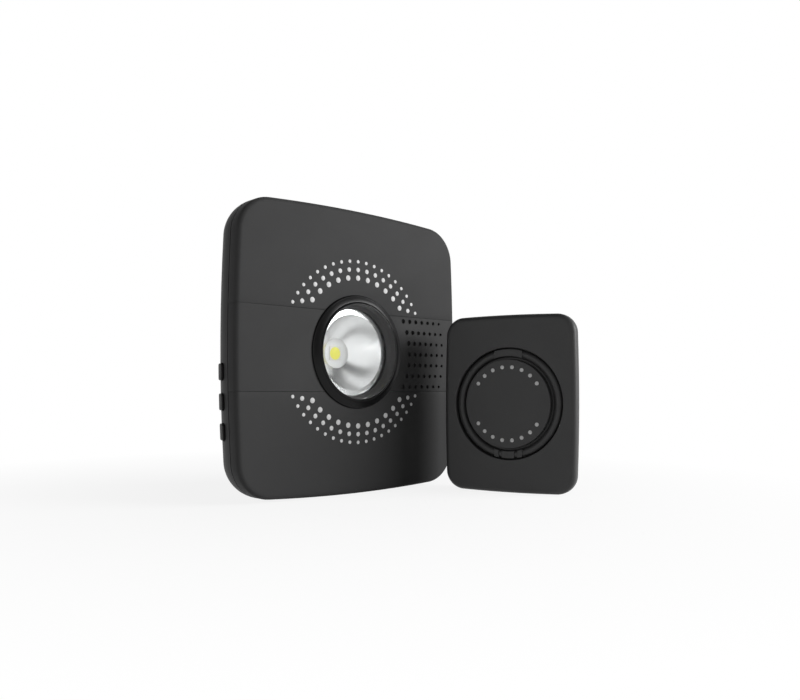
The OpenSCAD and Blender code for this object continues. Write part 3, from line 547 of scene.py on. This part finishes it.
class Look(Graph):
    """A new material and its shader."""

    def __init__(self, name):
        self.material = bpy.data.materials.new(name)
        self.material.use_nodes = True
        super().__init__(self.material.node_tree)
        self.shader = self.nodes["Principled BSDF"]

    def set(self, socket, value):
        self.shader.inputs[socket].default_value = value

    def feed(self, socket, output):
        self.links.new(output, self.shader.inputs[socket])

    def two_tone(self, value, dark, light):
        mix = self.nodes.new("ShaderNodeMix")
        mix.data_type = "RGBA"
        mix.inputs["A"].default_value = dark
        mix.inputs["B"].default_value = light
        self.links.new(value, mix.inputs["Factor"])
        self.feed("Base Color", mix.outputs["Result"])

    def drifting_tone(self, dark, light, scale, detail):
        self.two_tone(self.mapped(self.noise(scale, detail), 0, 1), dark, light)

    def drifting_shine(self, low, high, scale, detail):
        self.feed("Roughness", self.mapped(self.noise(scale, detail), low, high))

    def bump(self, height, strength, distance):
        bump = self.nodes.new("ShaderNodeBump")
        bump.inputs["Strength"].default_value = strength
        bump.inputs["Distance"].default_value = distance
        self.links.new(height, bump.inputs["Height"])
        self.feed("Normal", bump.outputs["Normal"])


def shaded(colour, share):
    return tuple(min(1.0, c * share) for c in colour) + (1.0,)


def plastic(name, colour, rough, grain=2600, depth=0.00003, strength=0.35, specular=0.5):
    """Moulded plastic: a fine spark texture, a faint flow of tone and patches of shine from handling."""
    look = Look(name)
    look.drifting_tone(shaded(colour, 1 - TONE_DRIFT), shaded(colour, 1 + TONE_DRIFT), scale=35, detail=4)
    look.drifting_shine(rough - SHINE_DRIFT, rough + SHINE_DRIFT, scale=90, detail=5)
    look.bump(look.noise(grain, detail=2), strength, depth)
    look.set("Specular IOR Level", specular)
    return look.material


def plastic_with_painted_lit_wall(name, inner, outer, edge, rough, specular):
    """Satin plastic round the lamp, with painted light: the wall inside a radius is painted paler than the
    ring outside it, standing in for the light the wall catches.
    """
    look = Look(name)
    across = look.vector_math("MULTIPLY", look.coordinates("Object"), (1, 0, 1))
    far = look.vector_math("LENGTH", across["Vector"])
    # Mask of the painted light: 0 on the wall inside the radius, which is painted paler, and 1 on the ring
    # outside it
    outside = look.mapped(far["Value"], 0, 1, edge, edge + RING_BLEND)
    look.two_tone(outside, shaded(inner, 1), shaded(outer, 1))
    look.drifting_shine(rough - SHINE_DRIFT, rough + SHINE_DRIFT, scale=90, detail=5)
    look.bump(look.noise(scale=700, detail=2), strength=0.05, distance=0.00003)
    look.set("Specular IOR Level", specular)
    return look.material


def metal(name, colour, rough, grain=900, strength=0.12, uneven=0.07):
    """Metal with faint patches in its tone and shine, and a fine grain if its strength isn't zero."""
    look = Look(name)
    look.drifting_tone(shaded(colour, 1 - uneven), shaded(colour, 1 + uneven), scale=260, detail=4)
    look.drifting_shine(rough * (1 - 3 * uneven), rough * (1 + 3 * uneven), grain, detail=3)
    if strength:
        look.bump(look.noise(grain * 2, detail=2), strength, distance=0.00002)
    look.set("Metallic", 1)
    return look.material


def printed(name, colour):
    """Pad print: slightly uneven ink."""
    look = Look(name)
    look.drifting_tone(shaded(colour, 0.9), shaded(colour, 1.05), scale=1800, detail=3)
    look.drifting_shine(0.5, 0.65, scale=900, detail=2)
    look.bump(look.noise(scale=4000, detail=2), strength=0.2, distance=0.00002)
    return look.material


def board_mask(name, colour):
    """Solder mask over faint tracks."""
    look = Look(name)
    bricks = look.nodes.new("ShaderNodeTexBrick")
    bricks.inputs["Color1"].default_value = shaded(colour, 1.0)
    bricks.inputs["Color2"].default_value = shaded(colour, 1.25)
    bricks.inputs["Mortar"].default_value = shaded(colour, 1.6)
    bricks.inputs["Scale"].default_value = 120
    bricks.inputs["Mortar Size"].default_value = 0.04
    look.links.new(look.coordinates("Object"), bricks.inputs["Vector"])
    look.feed("Base Color", bricks.outputs["Color"])
    look.drifting_shine(0.3, 0.42, scale=500, detail=3)
    look.bump(bricks.outputs["Fac"], strength=0.2, distance=0.00003)
    return look.material


def clear_lens(name):
    """Clear moulded lens with a barely uneven face."""
    look = Look(name)
    look.drifting_shine(0.0, 0.006, scale=120, detail=2)
    look.set("Base Color", (0.98, 0.99, 0.99, 1))
    look.set("Transmission Weight", 1)
    look.set("IOR", 1.2)
    return look.material


PLASTICS = {
    "cover_plastic": dict(colour=(0.041, 0.041, 0.0413), rough=0.6, specular=0.08),
    "rear_plastic": dict(colour=(0.028, 0.028, 0.0283), rough=0.56, strength=0.45, specular=0.25),
    "sensor_plastic": dict(colour=(0.034, 0.034, 0.0344), rough=0.5, specular=0.3),
    "button_plastic": dict(colour=(0.004, 0.004, 0.0041), rough=0.5, specular=0.12),
    "chip_black": dict(colour=(0.014, 0.014, 0.015), rough=0.5),
    "plunger_ivory": dict(colour=(0.66, 0.62, 0.52), rough=0.45),
    "gasket_foam": dict(colour=(0.02, 0.02, 0.021), rough=0.85, grain=1500, depth=0.0001, strength=0.8),
    "cone_paper": dict(colour=(0.012, 0.012, 0.012), rough=0.8, grain=900, depth=0.00008, strength=0.6),
    "capacitor_sleeve": dict(colour=(0.035, 0.05, 0.12), rough=0.3),
    "lamp_board_white": dict(colour=(0.96, 0.96, 0.95), rough=0.5),
    "led_white": dict(colour=(0.88, 0.86, 0.82), rough=0.4),
    "led_yellow": dict(colour=(0.97, 0.92, 0.16), rough=0.55, grain=3000),
    "module_blue": dict(colour=(0.02, 0.034, 0.07), rough=0.4),
}
METALS = {
    "reflector_bright": dict(colour=(0.93, 0.93, 0.93), rough=0.26, grain=2500, strength=0, uneven=0.02),
    "plated_steel": dict(colour=(0.62, 0.63, 0.64), rough=0.3),
    "cell_steel": dict(colour=(0.66, 0.66, 0.66), rough=0.25),
    "magnet_grey": dict(colour=(0.27, 0.28, 0.29), rough=0.5),
    "contact_brass": dict(colour=(0.68, 0.48, 0.18), rough=0.28),
}
MATERIALS = {name: plastic(name, **look) for name, look in PLASTICS.items()}
MATERIALS.update({name: metal(name, **look) for name, look in METALS.items()})
# The bezel's wall inside the lip is painted paler than its ring: painted light that stands in for the light
# the wall catches, not a different plastic
MATERIALS["gloss_plastic"] = plastic_with_painted_lit_wall("gloss_plastic", inner=(0.11, 0.11, 0.111),
                                          outer=(0.005, 0.005, 0.0052), edge=LIP * MM,
                                          rough=0.25, specular=0.15)
MATERIALS["board_green"] = board_mask("board_green", (0.014, 0.1, 0.045))
MATERIALS["dot_print"] = printed("dot_print", (0.57, 0.57, 0.57))
MATERIALS["lens_clear"] = clear_lens("lens_clear")

for part in frame["record"]["subparts"]:
    node = frame["nodes"][part["node"]]
    node.data.materials.clear()
    node.data.materials.append(MATERIALS[part["material_slot"]])


# Pieces

def new_object(name, mesh, place):
    """A Blender object from gathered points and faces, with its faces turned outward."""
    data = bpy.data.meshes.new(name)
    data.from_pydata([tuple(place @ Vector(p)) for p in mesh.points], [], mesh.faces)
    work = bmesh.new()
    work.from_mesh(data)
    bmesh.ops.recalc_face_normals(work, faces=work.faces)
    work.to_mesh(data)
    work.free()
    obj = bpy.data.objects.new(name, data)
    bpy.context.scene.collection.objects.link(obj)
    return obj


def cut_away(obj, cutter):
    """Takes the cutter out of an object for good, and removes the cutter."""
    boolean = obj.modifiers.new("cut", "BOOLEAN")
    boolean.operation = "DIFFERENCE"
    boolean.solver = "EXACT"
    boolean.object = cutter
    bpy.context.view_layer.update()
    cut = bpy.data.meshes.new_from_object(obj.evaluated_get(bpy.context.evaluated_depsgraph_get()))
    obj.modifiers.clear()
    obj.data = cut
    bpy.data.objects.remove(cutter)


def add_piece(name, mesh, place, body, slot, node, cutter=None, sharp=SHARP):
    """Makes a piece with its slot's material, which rides on a body and stands for a CAD node."""
    obj = new_object(name, mesh, place)
    if cutter:
        cut_away(obj, new_object(name + "_cutter", cutter, place))
    obj.data.materials.clear()
    obj.data.materials.append(MATERIALS[slot])
    obj.data.shade_smooth()
    obj.data.set_sharp_from_angle(angle=math.radians(sharp))
    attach(obj, body)
    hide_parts(node)


# Hub: front cover, trim and lamp

def hole_angle(height):
    """Angle in degrees at which the softened edge of the bezel's hole reaches a height."""
    return math.degrees(math.asin(height / HOLE_EDGE))


def hole_line(start, end):
    """That edge between two angles, with the direction across it."""
    points = arc(0, 0, HOLE_EDGE, start, end, HOLE_STEPS)
    return [(x, y, (-x / HOLE_EDGE, -y / HOLE_EDGE)) for x, y in points]


def hub_lobe():
    """The cover's field above the trim, with a softened edge at the seam."""
    start = CHANNEL_HALF + EDGE_SOFT
    outer = lid_rows(0, HUB_EDGE, FACE - SKIRT, FACE, HUB_FLAT)
    inner = inside_rows(outer, WALL, 0, HUB_EDGE, FACE, HUB_FLAT)
    face = hole_line(180 - hole_angle(start), hole_angle(start))
    return patch(lambda inset: lobe_line(HUB, inset, start), outer, inner, face, ((0, -1), (0, -1)))


def hub_band(half_height, depth, thick):
    """Right half of the trim, or of the channel's floor, from the lamp to the hub's side."""
    stop = half_height - EDGE_SOFT
    edge = HUB_EDGE - depth
    outer = lid_rows(depth, edge, FACE - SKIRT, FACE - depth, HUB_FLAT)
    inner = inside_rows(outer, thick, depth, edge, FACE - depth, HUB_FLAT)
    face = hole_line(hole_angle(stop), -hole_angle(stop))

    def line_at(inset):
        return side_line(HUB, inset, -stop, stop, 2 * SIDE_STEPS)

    return patch(line_at, outer, inner, face, ((0, 1), (0, -1)))


def front_cover():
    """Both fields of the cover, and the channel's floor to the left and right of the lamp."""
    lobe = hub_lobe()
    floor = hub_band(CHANNEL_HALF, CHANNEL_DEPTH, WALL - CHANNEL_DEPTH)
    return Mesh().join(lobe).join(lobe, mirrored_y).join(floor).join(floor, mirrored_x)


def grille_cutter():
    """Every sound hole at once, each with a small flare at its mouth."""
    mesh = Mesh()
    side_rows = (GRILLE_ROWS - 1) // 2
    for row in range(-side_rows, side_rows + 1):
        for ring in range(GRILLE_ARCS):
            y = row * GRILLE_ROW_PITCH
            x = math.sqrt((GRILLE_START + GRILLE_PITCH * ring) ** 2 - y ** 2)
            radius = (GRILLE_HOLE - GRILLE_STEP * ring) / 2
            profile = [(radius + out, FACE + rise) for out, rise in GRILLE_PROFILE]
            profile = [(0, profile[0][1])] + profile + [(0, profile[-1][1])]
            mesh.join(lathe(profile, SMALL_TURNS), shifted(x, y))
    return mesh


def bezel_profile():
    """A rounded edge, a cone that rises past a crease to the lip, and a wall that falls to the lens."""
    edge, lip = FACE + BEZEL_RISE, FACE + BEZEL_PROUD
    foot = FACE - SLEEVE_LENGTH
    shoulder = BEZEL_RADIUS - BEZEL_EDGE
    slope = (lip - edge) / (shoulder - LIP - LIP_ROUND)
    lean = math.degrees(math.atan(slope))

    def on_cone(radius, drop):
        return radius, edge + (shoulder - radius) * slope - drop

    profile = [(BEZEL_RADIUS, FACE + BEZEL_GAP)]
    profile += arc(shoulder, edge - BEZEL_EDGE, BEZEL_EDGE, 0, 90 - lean / 2, steps=9)
    profile.append(on_cone(BEZEL_MIDDLE, 0))
    profile += [on_cone(CREASE + half, drop) for half, drop in CREASE_PROFILE]
    profile += [on_cone(CREASE - half, drop) for half, drop in CREASE_PROFILE[::-1]]
    profile += arc(LIP + LIP_ROUND, lip - LIP_ROUND, LIP_ROUND, 90 - lean, LIP_END, steps=6)
    profile += [(LIP - inset, FACE - depth) for inset, depth in THROAT_PROFILE]
    profile.append((MOUTH + FLARE_WIDTH, LENS_TOP + FLARE_HEIGHT))
    mouth = MOUTH + MOUTH_GAP + MOUTH_ROUND
    profile += arc(mouth, LENS_TOP + MOUTH_ROUND, MOUTH_ROUND, MOUTH_START, 270, steps=4)
    profile += [(LENS_SEAT, LENS_TOP), (LENS_SEAT, foot)]
    return profile + [(BEZEL_SLEEVE, foot), (BEZEL_SLEEVE, FACE + BEZEL_GAP)]


def lens_profile():
    """A disc with bevelled edges, just clear of the reflector's rim and of the bezel."""
    low, high = LENS_LOW + LENS_GAP, LENS_TOP - LENS_GAP
    inner = LENS_RADIUS - LENS_BEVEL
    return [(0, low), (inner, low), (LENS_RADIUS, LENS_LOW + LENS_BEVEL), (LENS_RADIUS, high - LENS_BEVEL),
            (inner, high), (0, high)]


def reflector_profile():
    """A nearly straight cup from the neck round the light source to the rim under the lens."""
    low, high = Vector((NECK_RADIUS, NECK_TOP)), Vector((RIM_RADIUS, LENS_LOW))
    along = (high - low).normalized()
    out = Vector((along.y, -along.x))
    neck_outside = NECK_RADIUS + REFLECTOR_SKIN
    rim_low = LENS_LOW - RIM_THICK
    inner, outer = [], []
    for step in range(REFLECTOR_STEPS + 1):
        share = step / REFLECTOR_STEPS
        point = low.lerp(high, share) + out * REFLECTOR_BULGE * 4 * share * (1 - share)
        inner.append(tuple(point))
        outer.append(tuple(point + out * REFLECTOR_SKIN))
    profile = [(NECK_RADIUS, LAMP_BOARD_TOP)] + inner + [(LENS_RADIUS, LENS_LOW), (LENS_RADIUS, rim_low)]
    profile += [p for p in outer[::-1] if p[1] < rim_low and p[0] > neck_outside]
    return profile + [(neck_outside, NECK_TOP), (neck_outside, LAMP_BOARD_TOP)]


def phosphor_profile():
    """A low dome on the light source's package."""
    low = LAMP_BOARD_TOP + LED_HEIGHT
    edge = low + PHOSPHOR_EDGE
    profile = [(0, low), (PHOSPHOR_RADIUS, low), (PHOSPHOR_RADIUS, edge)]
    for share in PHOSPHOR_RINGS:
        profile.append((PHOSPHOR_RADIUS * share, edge + PHOSPHOR_DOME * (1 - share ** 2)))
    return profile + [(0, edge + PHOSPHOR_DOME)]


def dot(radius, height):
    """One dot of ink with a soft rim."""
    profile = [(0, height - DOT_THICK), (radius, height - DOT_THICK), (radius, height - DOT_RIM_DEPTH),
               (radius - DOT_RIM_WIDTH, height), (0, height)]
    return lathe(profile, SMALL_TURNS)


def dot_fans(rings, height):
    """Dots in an upper and a lower fan on each ring."""
    mesh = Mesh()
    for ring, size, turn, count in rings:
        for middle in (90, 270):
            for k in range(count):
                angle = math.radians(middle + (k - (count - 1) / 2) * turn)
                place = shifted(ring * math.cos(angle), ring * math.sin(angle))
                mesh.join(dot(size / 2, height + DOT_THICK), place)
    return mesh


trim = hub_band(TRIM_HALF, 0, TRIM_THICK)
left_trim = Mesh().join(trim, mirrored_x)
bezel = lathe(bezel_profile(), LAMP_TURNS)
lens = lathe(lens_profile(), LAMP_TURNS)
reflector = lathe(reflector_profile(), LAMP_TURNS)
phosphor = lathe(phosphor_profile(), PHOSPHOR_TURNS)
add_piece("front_cover", front_cover(), HUB_PLACE, "hub_body", "cover_plastic", "hub_front_cover")
add_piece("left_band", left_trim, HUB_PLACE, "hub_body", "cover_plastic", "left_trim")
add_piece("grille_band", trim, HUB_PLACE, "hub_body", "cover_plastic", "grille_trim",
          cutter=grille_cutter())
add_piece("bezel_ring", bezel, HUB_PLACE, "hub_body", "gloss_plastic", "lamp_bezel")
add_piece("front_dot_print", dot_fans(HUB_DOTS, FACE), HUB_PLACE, "hub_body", "dot_print", "front_dots")
add_piece("lens_disc", lens, HUB_PLACE, "hub_body", "lens_clear", "lamp_lens", sharp=LENS_SHARP)
add_piece("reflector_cup", reflector, HUB_PLACE, "hub_body", "reflector_bright", "lamp_reflector")
add_piece("phosphor_dome", phosphor, HUB_PLACE, "hub_body", "led_yellow", "led_phosphor")


# Side buttons

def flank_x(y, z):
    """How far out the rear housing reaches at a height and depth."""
    radius = bow_radius(HUB, corner_place(HUB)[1])
    side = HUB[0] / 2 - radius + math.sqrt(radius ** 2 - y ** 2)
    fall = max(BOWL_TOP - z, 0)
    return side - BOWL_ROUND + math.sqrt(BOWL_ROUND ** 2 - fall ** 2)


def rounded_rectangle(height, width, radius):
    points = []
    for sign_y, sign_z, start in ((1, 1, 0), (-1, 1, 90), (-1, -1, 180), (1, -1, 270)):
        y, z = sign_y * (height / 2 - radius), sign_z * (width / 2 - radius)
        points += arc(y, z, radius, start, start + 90, BUTTON_CORNER_STEPS)
    return points


def side_button(middle):
    """A cap that follows the housing's curve, with a rolled edge, on a skirt that keeps it in."""

    def ring(inset, rise):
        corner = max(BUTTON_ROUND - inset, BUTTON_LEAST_ROUND)
        points = rounded_rectangle(BUTTON_HEIGHT - 2 * inset, BUTTON_WIDTH - 2 * inset, corner)
        return [(-flank_x(middle + y, BUTTON_LINE + z) - BUTTON_PROUD + rise, middle + y, BUTTON_LINE + z)
                for y, z in points]

    def flat_ring(grow, x):
        corner = BUTTON_ROUND + grow * BUTTON_SKIRT_ROUNDING
        points = rounded_rectangle(BUTTON_HEIGHT + 2 * grow, BUTTON_WIDTH + 2 * grow, corner)
        return [(-x, middle + y, BUTTON_LINE + z) for y, z in points]

    rows = [flat_ring(BUTTON_SKIRT, BUTTON_SKIRT_FACE - BUTTON_SKIRT)]
    rows += [flat_ring(BUTTON_SKIRT, BUTTON_SKIRT_FACE), flat_ring(0, BUTTON_SKIRT_FACE)]
    for step in range(BUTTON_EDGE_STEPS + 1):
        lean = math.radians(90 * step / BUTTON_EDGE_STEPS)
        rows.append(ring(BUTTON_SOFT * (1 - math.cos(lean)), BUTTON_SOFT * (1 - math.sin(lean))))
    for inset in BUTTON_INSETS:
        rows.append(ring(inset, BUTTON_DISH * (inset - BUTTON_SOFT)))
    return loft(rows, joined=False)


for button, height in BUTTON_PLACES.items():
    add_piece(button + "_cap", side_button(height), HUB_PLACE, button + "_body", "button_plastic", button,
              sharp=BUTTON_SHARP)


# Door sensor

def outline_row(inset, height):
    return [(x, y, height) for x, y, _, _ in whole_line(SENSOR, inset)]


def circle_row(radius, height):
    """A circle whose points face those of the sensor's outline."""
    return [(radius * x / math.hypot(x, y), radius * y / math.hypot(x, y), height)
            for x, y, _, _ in whole_line(SENSOR, 0)]


def sensor_front():
    """The front shell, from its seam over its face and down into the well, and back up inside."""
    outer = lid_rows(0, SENSOR_EDGE, SENSOR_SEAM_TOP, SENSOR_FACE, SENSOR_FLAT)
    inner = inside_rows(outer, SENSOR_WALL, 0, SENSOR_EDGE, SENSOR_FACE, SENSOR_FLAT)
    under = WELL_FLOOR - WELL_FLOOR_THICK
    well = [(WELL + WELL_RIM + WELL_MARGIN, SENSOR_FACE)]
    well += arc(WELL + WELL_RIM, SENSOR_FACE - WELL_RIM, WELL_RIM, 90, 180, steps=5)
    well += [(WELL, WELL_FLOOR + WELL_SOFT), (WELL - WELL_SOFT, WELL_FLOOR), (COVER_HOLE, WELL_FLOOR),
             (COVER_HOLE, under), (WELL + WELL_WALL, under), (WELL + WELL_WALL, SENSOR_FACE - SENSOR_WALL)]
    rows = [outline_row(inset, height) for inset, height, _ in outer]
    rows += [circle_row(radius, height) for radius, height in well]
    rows += [outline_row(inset, height) for inset, height, _ in inner[::-1]]
    return loft(rows, joined=True)


def grip_pad(low_x, high_x, sign):
    """A pad between two arcs and two upright lines, above or below the cover's middle."""
    across = [low_x + (high_x - low_x) * i / PAD_STEPS for i in range(PAD_STEPS + 1)]
    edge = [(x, sign * math.sqrt(PAD_OUTER ** 2 - x ** 2)) for x in across]
    edge += [(x, sign * math.sqrt(PAD_INNER ** 2 - x ** 2)) for x in across[::-1]]
    centre = sum(x for x, _ in edge) / len(edge)
    middle_radius = (PAD_INNER + PAD_OUTER) / 2

    def drawn_in(inset, height):
        share_x = 1 - 2 * inset / (high_x - low_x)
        share_y = 1 - 2 * inset / (PAD_OUTER - PAD_INNER)
        points = []
        for x, y in edge:
            middle = sign * math.sqrt(middle_radius ** 2 - x ** 2)
            points.append((centre + (x - centre) * share_x, middle + (y - middle) * share_y, height))
        return points

    mesh = Mesh()
    rings = [mesh.add(drawn_in(0, PAD_BOTTOM))]
    for step in range(SOFT_STEPS + 1):
        lean = math.radians(90 * step / SOFT_STEPS)
        height = PAD_TOP - PAD_SOFT * (1 - math.sin(lean))
        rings.append(mesh.add(drawn_in(PAD_SOFT * (1 - math.cos(lean)), height)))
    mesh.skin(rings, True)
    mesh.faces.append(tuple(rings[0]))
    top = rings[-1]
    for i in range(PAD_STEPS):
        mesh.faces.append((top[i], top[i + 1], top[-2 - i], top[-1 - i]))
    return mesh


def battery_cover():
    """Raised disc, groove, rounded ring and grip pads, over a skirt that reaches down into the shell."""
    ring_round = (COVER_RIM - RING_INNER) / 2
    groove = FLANGE_TOP + GROOVE_ROUND
    disc_under = DISC_TOP - DISC_THICK
    profile = [(0, DISC_TOP), (DISC / 2, DISC_TOP), (DISC - DISC_MARGIN, DISC_TOP)]
    profile += arc(DISC - DISC_EDGE, DISC_TOP - DISC_EDGE, DISC_EDGE, 90, 0, steps=6)
    profile += arc(DISC + GROOVE_ROUND, groove, GROOVE_ROUND, 180, 270, steps=3)
    profile += arc(RING_INNER - GROOVE_ROUND, groove, GROOVE_ROUND, 270, 360, steps=3)
    profile += arc(RING_INNER + ring_round, RING_TOP - ring_round, ring_round, 180, 0, steps=16)
    profile += [(COVER_RIM, FLANGE_BOTTOM + COVER_BEVEL), (COVER_RIM - COVER_BEVEL, FLANGE_BOTTOM)]
    profile += [(COVER_SKIRT_OUTER, FLANGE_BOTTOM), (COVER_SKIRT_OUTER, COVER_SKIRT_BOTTOM)]
    profile += [(COVER_SKIRT_INNER, COVER_SKIRT_BOTTOM), (COVER_SKIRT_INNER, FLANGE_BOTTOM)]
    profile += [(DISC_HOLLOW, FLANGE_BOTTOM), (DISC_HOLLOW, disc_under), (0, disc_under)]
    mesh = lathe(profile, COVER_TURNS)
    for low_x, high_x, sign in PADS:
        mesh.join(grip_pad(low_x, high_x, sign))
    return mesh


shell = sensor_front()
cover = battery_cover()
cover_dots = dot_fans(COVER_DOTS, DISC_TOP)
add_piece("sensor_front", shell, SENSOR_PLACE, "sensor_body", "sensor_plastic", "sensor_front_shell")
add_piece("cover_disc", cover, SENSOR_PLACE, "battery_cover_body", "sensor_plastic", "battery_cover")
add_piece("cover_dot_print", cover_dots, SENSOR_PLACE, "battery_cover_body", "dot_print", "cover_dots")


# Case screws, whose heads show from behind

def case_screw(seat, length, radius, head, high):
    """A pan head with a rounded edge, below its seat, on a shank with a blunt point."""
    soft = SCREW_SOFT * high
    tip = seat + length
    profile = [(0, seat - high)]
    profile += arc(head - soft, seat - high + soft, soft, 270, 360, steps=6)
    profile += [(head, seat), (radius, seat), (radius, tip - radius), (radius / 2, tip), (0, tip)]
    return lathe(profile, SCREW_TURNS)


def cross_recess(seat, head, high):
    """The cutter of a driver's cross, narrower toward its bottom."""
    long, thin = CROSS_LONG * head, CROSS_THIN * head
    outline = []
    for turn in range(4):
        c, s = math.cos(math.radians(90 * turn)), math.sin(math.radians(90 * turn))
        outline += [(x * c - y * s, x * s + y * c) for x, y in ((long, -thin), (long, thin), (thin, thin))]
    rows = [[(x * share, y * share, seat - depth * high) for x, y in outline]
            for share, depth in CROSS_ROWS]
    return loft(rows, joined=False)


def case_screws(post, screw):
    """Four screws, and the cutter of the crosses in their heads."""
    seat, _, _, head, high = screw
    across, up = post
    screws, recesses = Mesh(), Mesh()
    for x in (-across, across):
        for y in (-up, up):
            screws.join(case_screw(*screw), shifted(x, y))
            recesses.join(cross_recess(seat, head, high), shifted(x, y))
    return screws, recesses


screws, recesses = case_screws(HUB_POST, HUB_SCREW)
add_piece("hub_case_screws", screws, HUB_PLACE, "hub_body", "plated_steel", "housing_screws",
          cutter=recesses)
screws, recesses = case_screws(SENSOR_POST, SENSOR_SCREW)
add_piece("sensor_case_screws", screws, SENSOR_PLACE, "sensor_body", "plated_steel", "sensor_screws",
          cutter=recesses)


# Stage: a pale floor, a white surround and soft studio light, in metres
FLOOR_REACH = 3
FLOOR_TONE = 0.9
FLOOR_ROUGH = 0.9
# Share of plain white, near and far, and the distances between which it rises: as seen, and in mirrors
FLOOR_SEEN = (0.86, 1, 0.1, 0.28)
FLOOR_MIRRORED = (0.3, 1, 0.075, 0.095)
AMBIENT = 0.16
# White panels that mirrors show: direction, and the facing between which each fades in
BACKDROP = ((0.676, 0.737, 0), 0.3, 0.7)
CAMERA_PANEL = ((-0.74, -0.63, 0.24), 0.78, 0.9)
WHITE = (1, 1, 1, 1)
# Lights: offset from the object's middle, width and height, and power
LIGHTS = {
    "key": ((0.8, -0.888, 0.365), (0.7, 0.4), 18),
    "fill": ((-0.95, 0.12, 0.05), (0.6, 0.6), 2.2),
}


def make_floor():
    """Pale paper that keeps the object's shadow and turns plain white a little way off."""
    mesh = Mesh()
    corners = ((-1, -1), (1, -1), (1, 1), (-1, 1))
    mesh.faces.append(tuple(mesh.add([(x * FLOOR_REACH, y * FLOOR_REACH, cad_low.z) for x, y in corners])))
    floor = new_object("floor", mesh, Matrix.Identity(4))
    look = Look("floor_paper")
    look.set("Base Color", (FLOOR_TONE, FLOOR_TONE, FLOOR_TONE, 1))
    look.set("Roughness", FLOOR_ROUGH)
    look.set("Specular IOR Level", 0)
    far = look.vector_math("LENGTH", look.coordinates("Object"))["Value"]
    from_camera, mirrored = look.ray_kinds()
    seen_white = look.combined("MULTIPLY", from_camera, look.mapped(far, *FLOOR_SEEN))
    mirrored_white = look.combined("MULTIPLY", mirrored, look.mapped(far, *FLOOR_MIRRORED))
    white = look.nodes.new("ShaderNodeEmission")
    look.show("Material Output", look.shader.outputs["BSDF"], white.outputs["Emission"],
              look.combined("MAXIMUM", seen_white, mirrored_white))
    floor.data.materials.append(look.material)


def make_world():
    """A plain room that lights the object softly, with a white backdrop and a white panel by the camera."""
    world = bpy.data.worlds.new("studio")
    world.use_nodes = True
    graph = Graph(world.node_tree)
    panels = graph.combined("MAXIMUM", graph.facing(*BACKDROP), graph.facing(*CAMERA_PANEL))
    from_camera, mirrored = graph.ray_kinds()
    room = graph.nodes["Background"]
    room.inputs["Color"].default_value = WHITE
    room.inputs["Strength"].default_value = AMBIENT
    white = graph.nodes.new("ShaderNodeBackground")
    white.inputs["Color"].default_value = WHITE
    graph.show("World Output", room.outputs["Background"], white.outputs["Background"],
               graph.combined("MAXIMUM", from_camera, graph.combined("MULTIPLY", mirrored, panels)))
    bpy.context.scene.world = world


def add_light(name, place, target, size, power):
    data = bpy.data.lights.new(name, "AREA")
    data.shape = "RECTANGLE"
    data.size, data.size_y = size
    data.energy = power
    light = bpy.data.objects.new(name, data)
    light.location = place
    light.rotation_euler = (target - place).to_track_quat("-Z", "Y").to_euler()
    bpy.context.scene.collection.objects.link(light)


make_floor()
make_world()
centre = (cad_low + cad_high) / 2
for light_name, (offset, light_size, power) in LIGHTS.items():
    add_light(light_name, centre + Vector(offset), centre, light_size, power)

# Camera: level, left of the hub, at the photograph's place
IMAGE_WIDTH = 800
FILM_WIDTH = 36
FOCAL_PIXELS = 771.3
HORIZON_DROP = 40.8
IMAGE_NUDGE = 0.5
CAMERA_PLACE = (-0.23924, -0.31806, -0.01888)
CAMERA_TURN = -42.54

camera_data = bpy.data.cameras.new("camera")
camera_data.sensor_width = FILM_WIDTH
camera_data.lens = FOCAL_PIXELS / IMAGE_WIDTH * FILM_WIDTH
camera_data.shift_x = IMAGE_NUDGE / IMAGE_WIDTH
camera_data.shift_y = HORIZON_DROP / IMAGE_WIDTH
camera = bpy.data.objects.new("camera", camera_data)
camera.location = CAMERA_PLACE
camera.rotation_euler = (math.radians(90), 0, math.radians(CAMERA_TURN))
bpy.context.scene.collection.objects.link(camera)
bpy.context.scene.camera = camera
bpy.context.scene.view_settings.view_transform = "Standard"

bpy.context.view_layer.update()
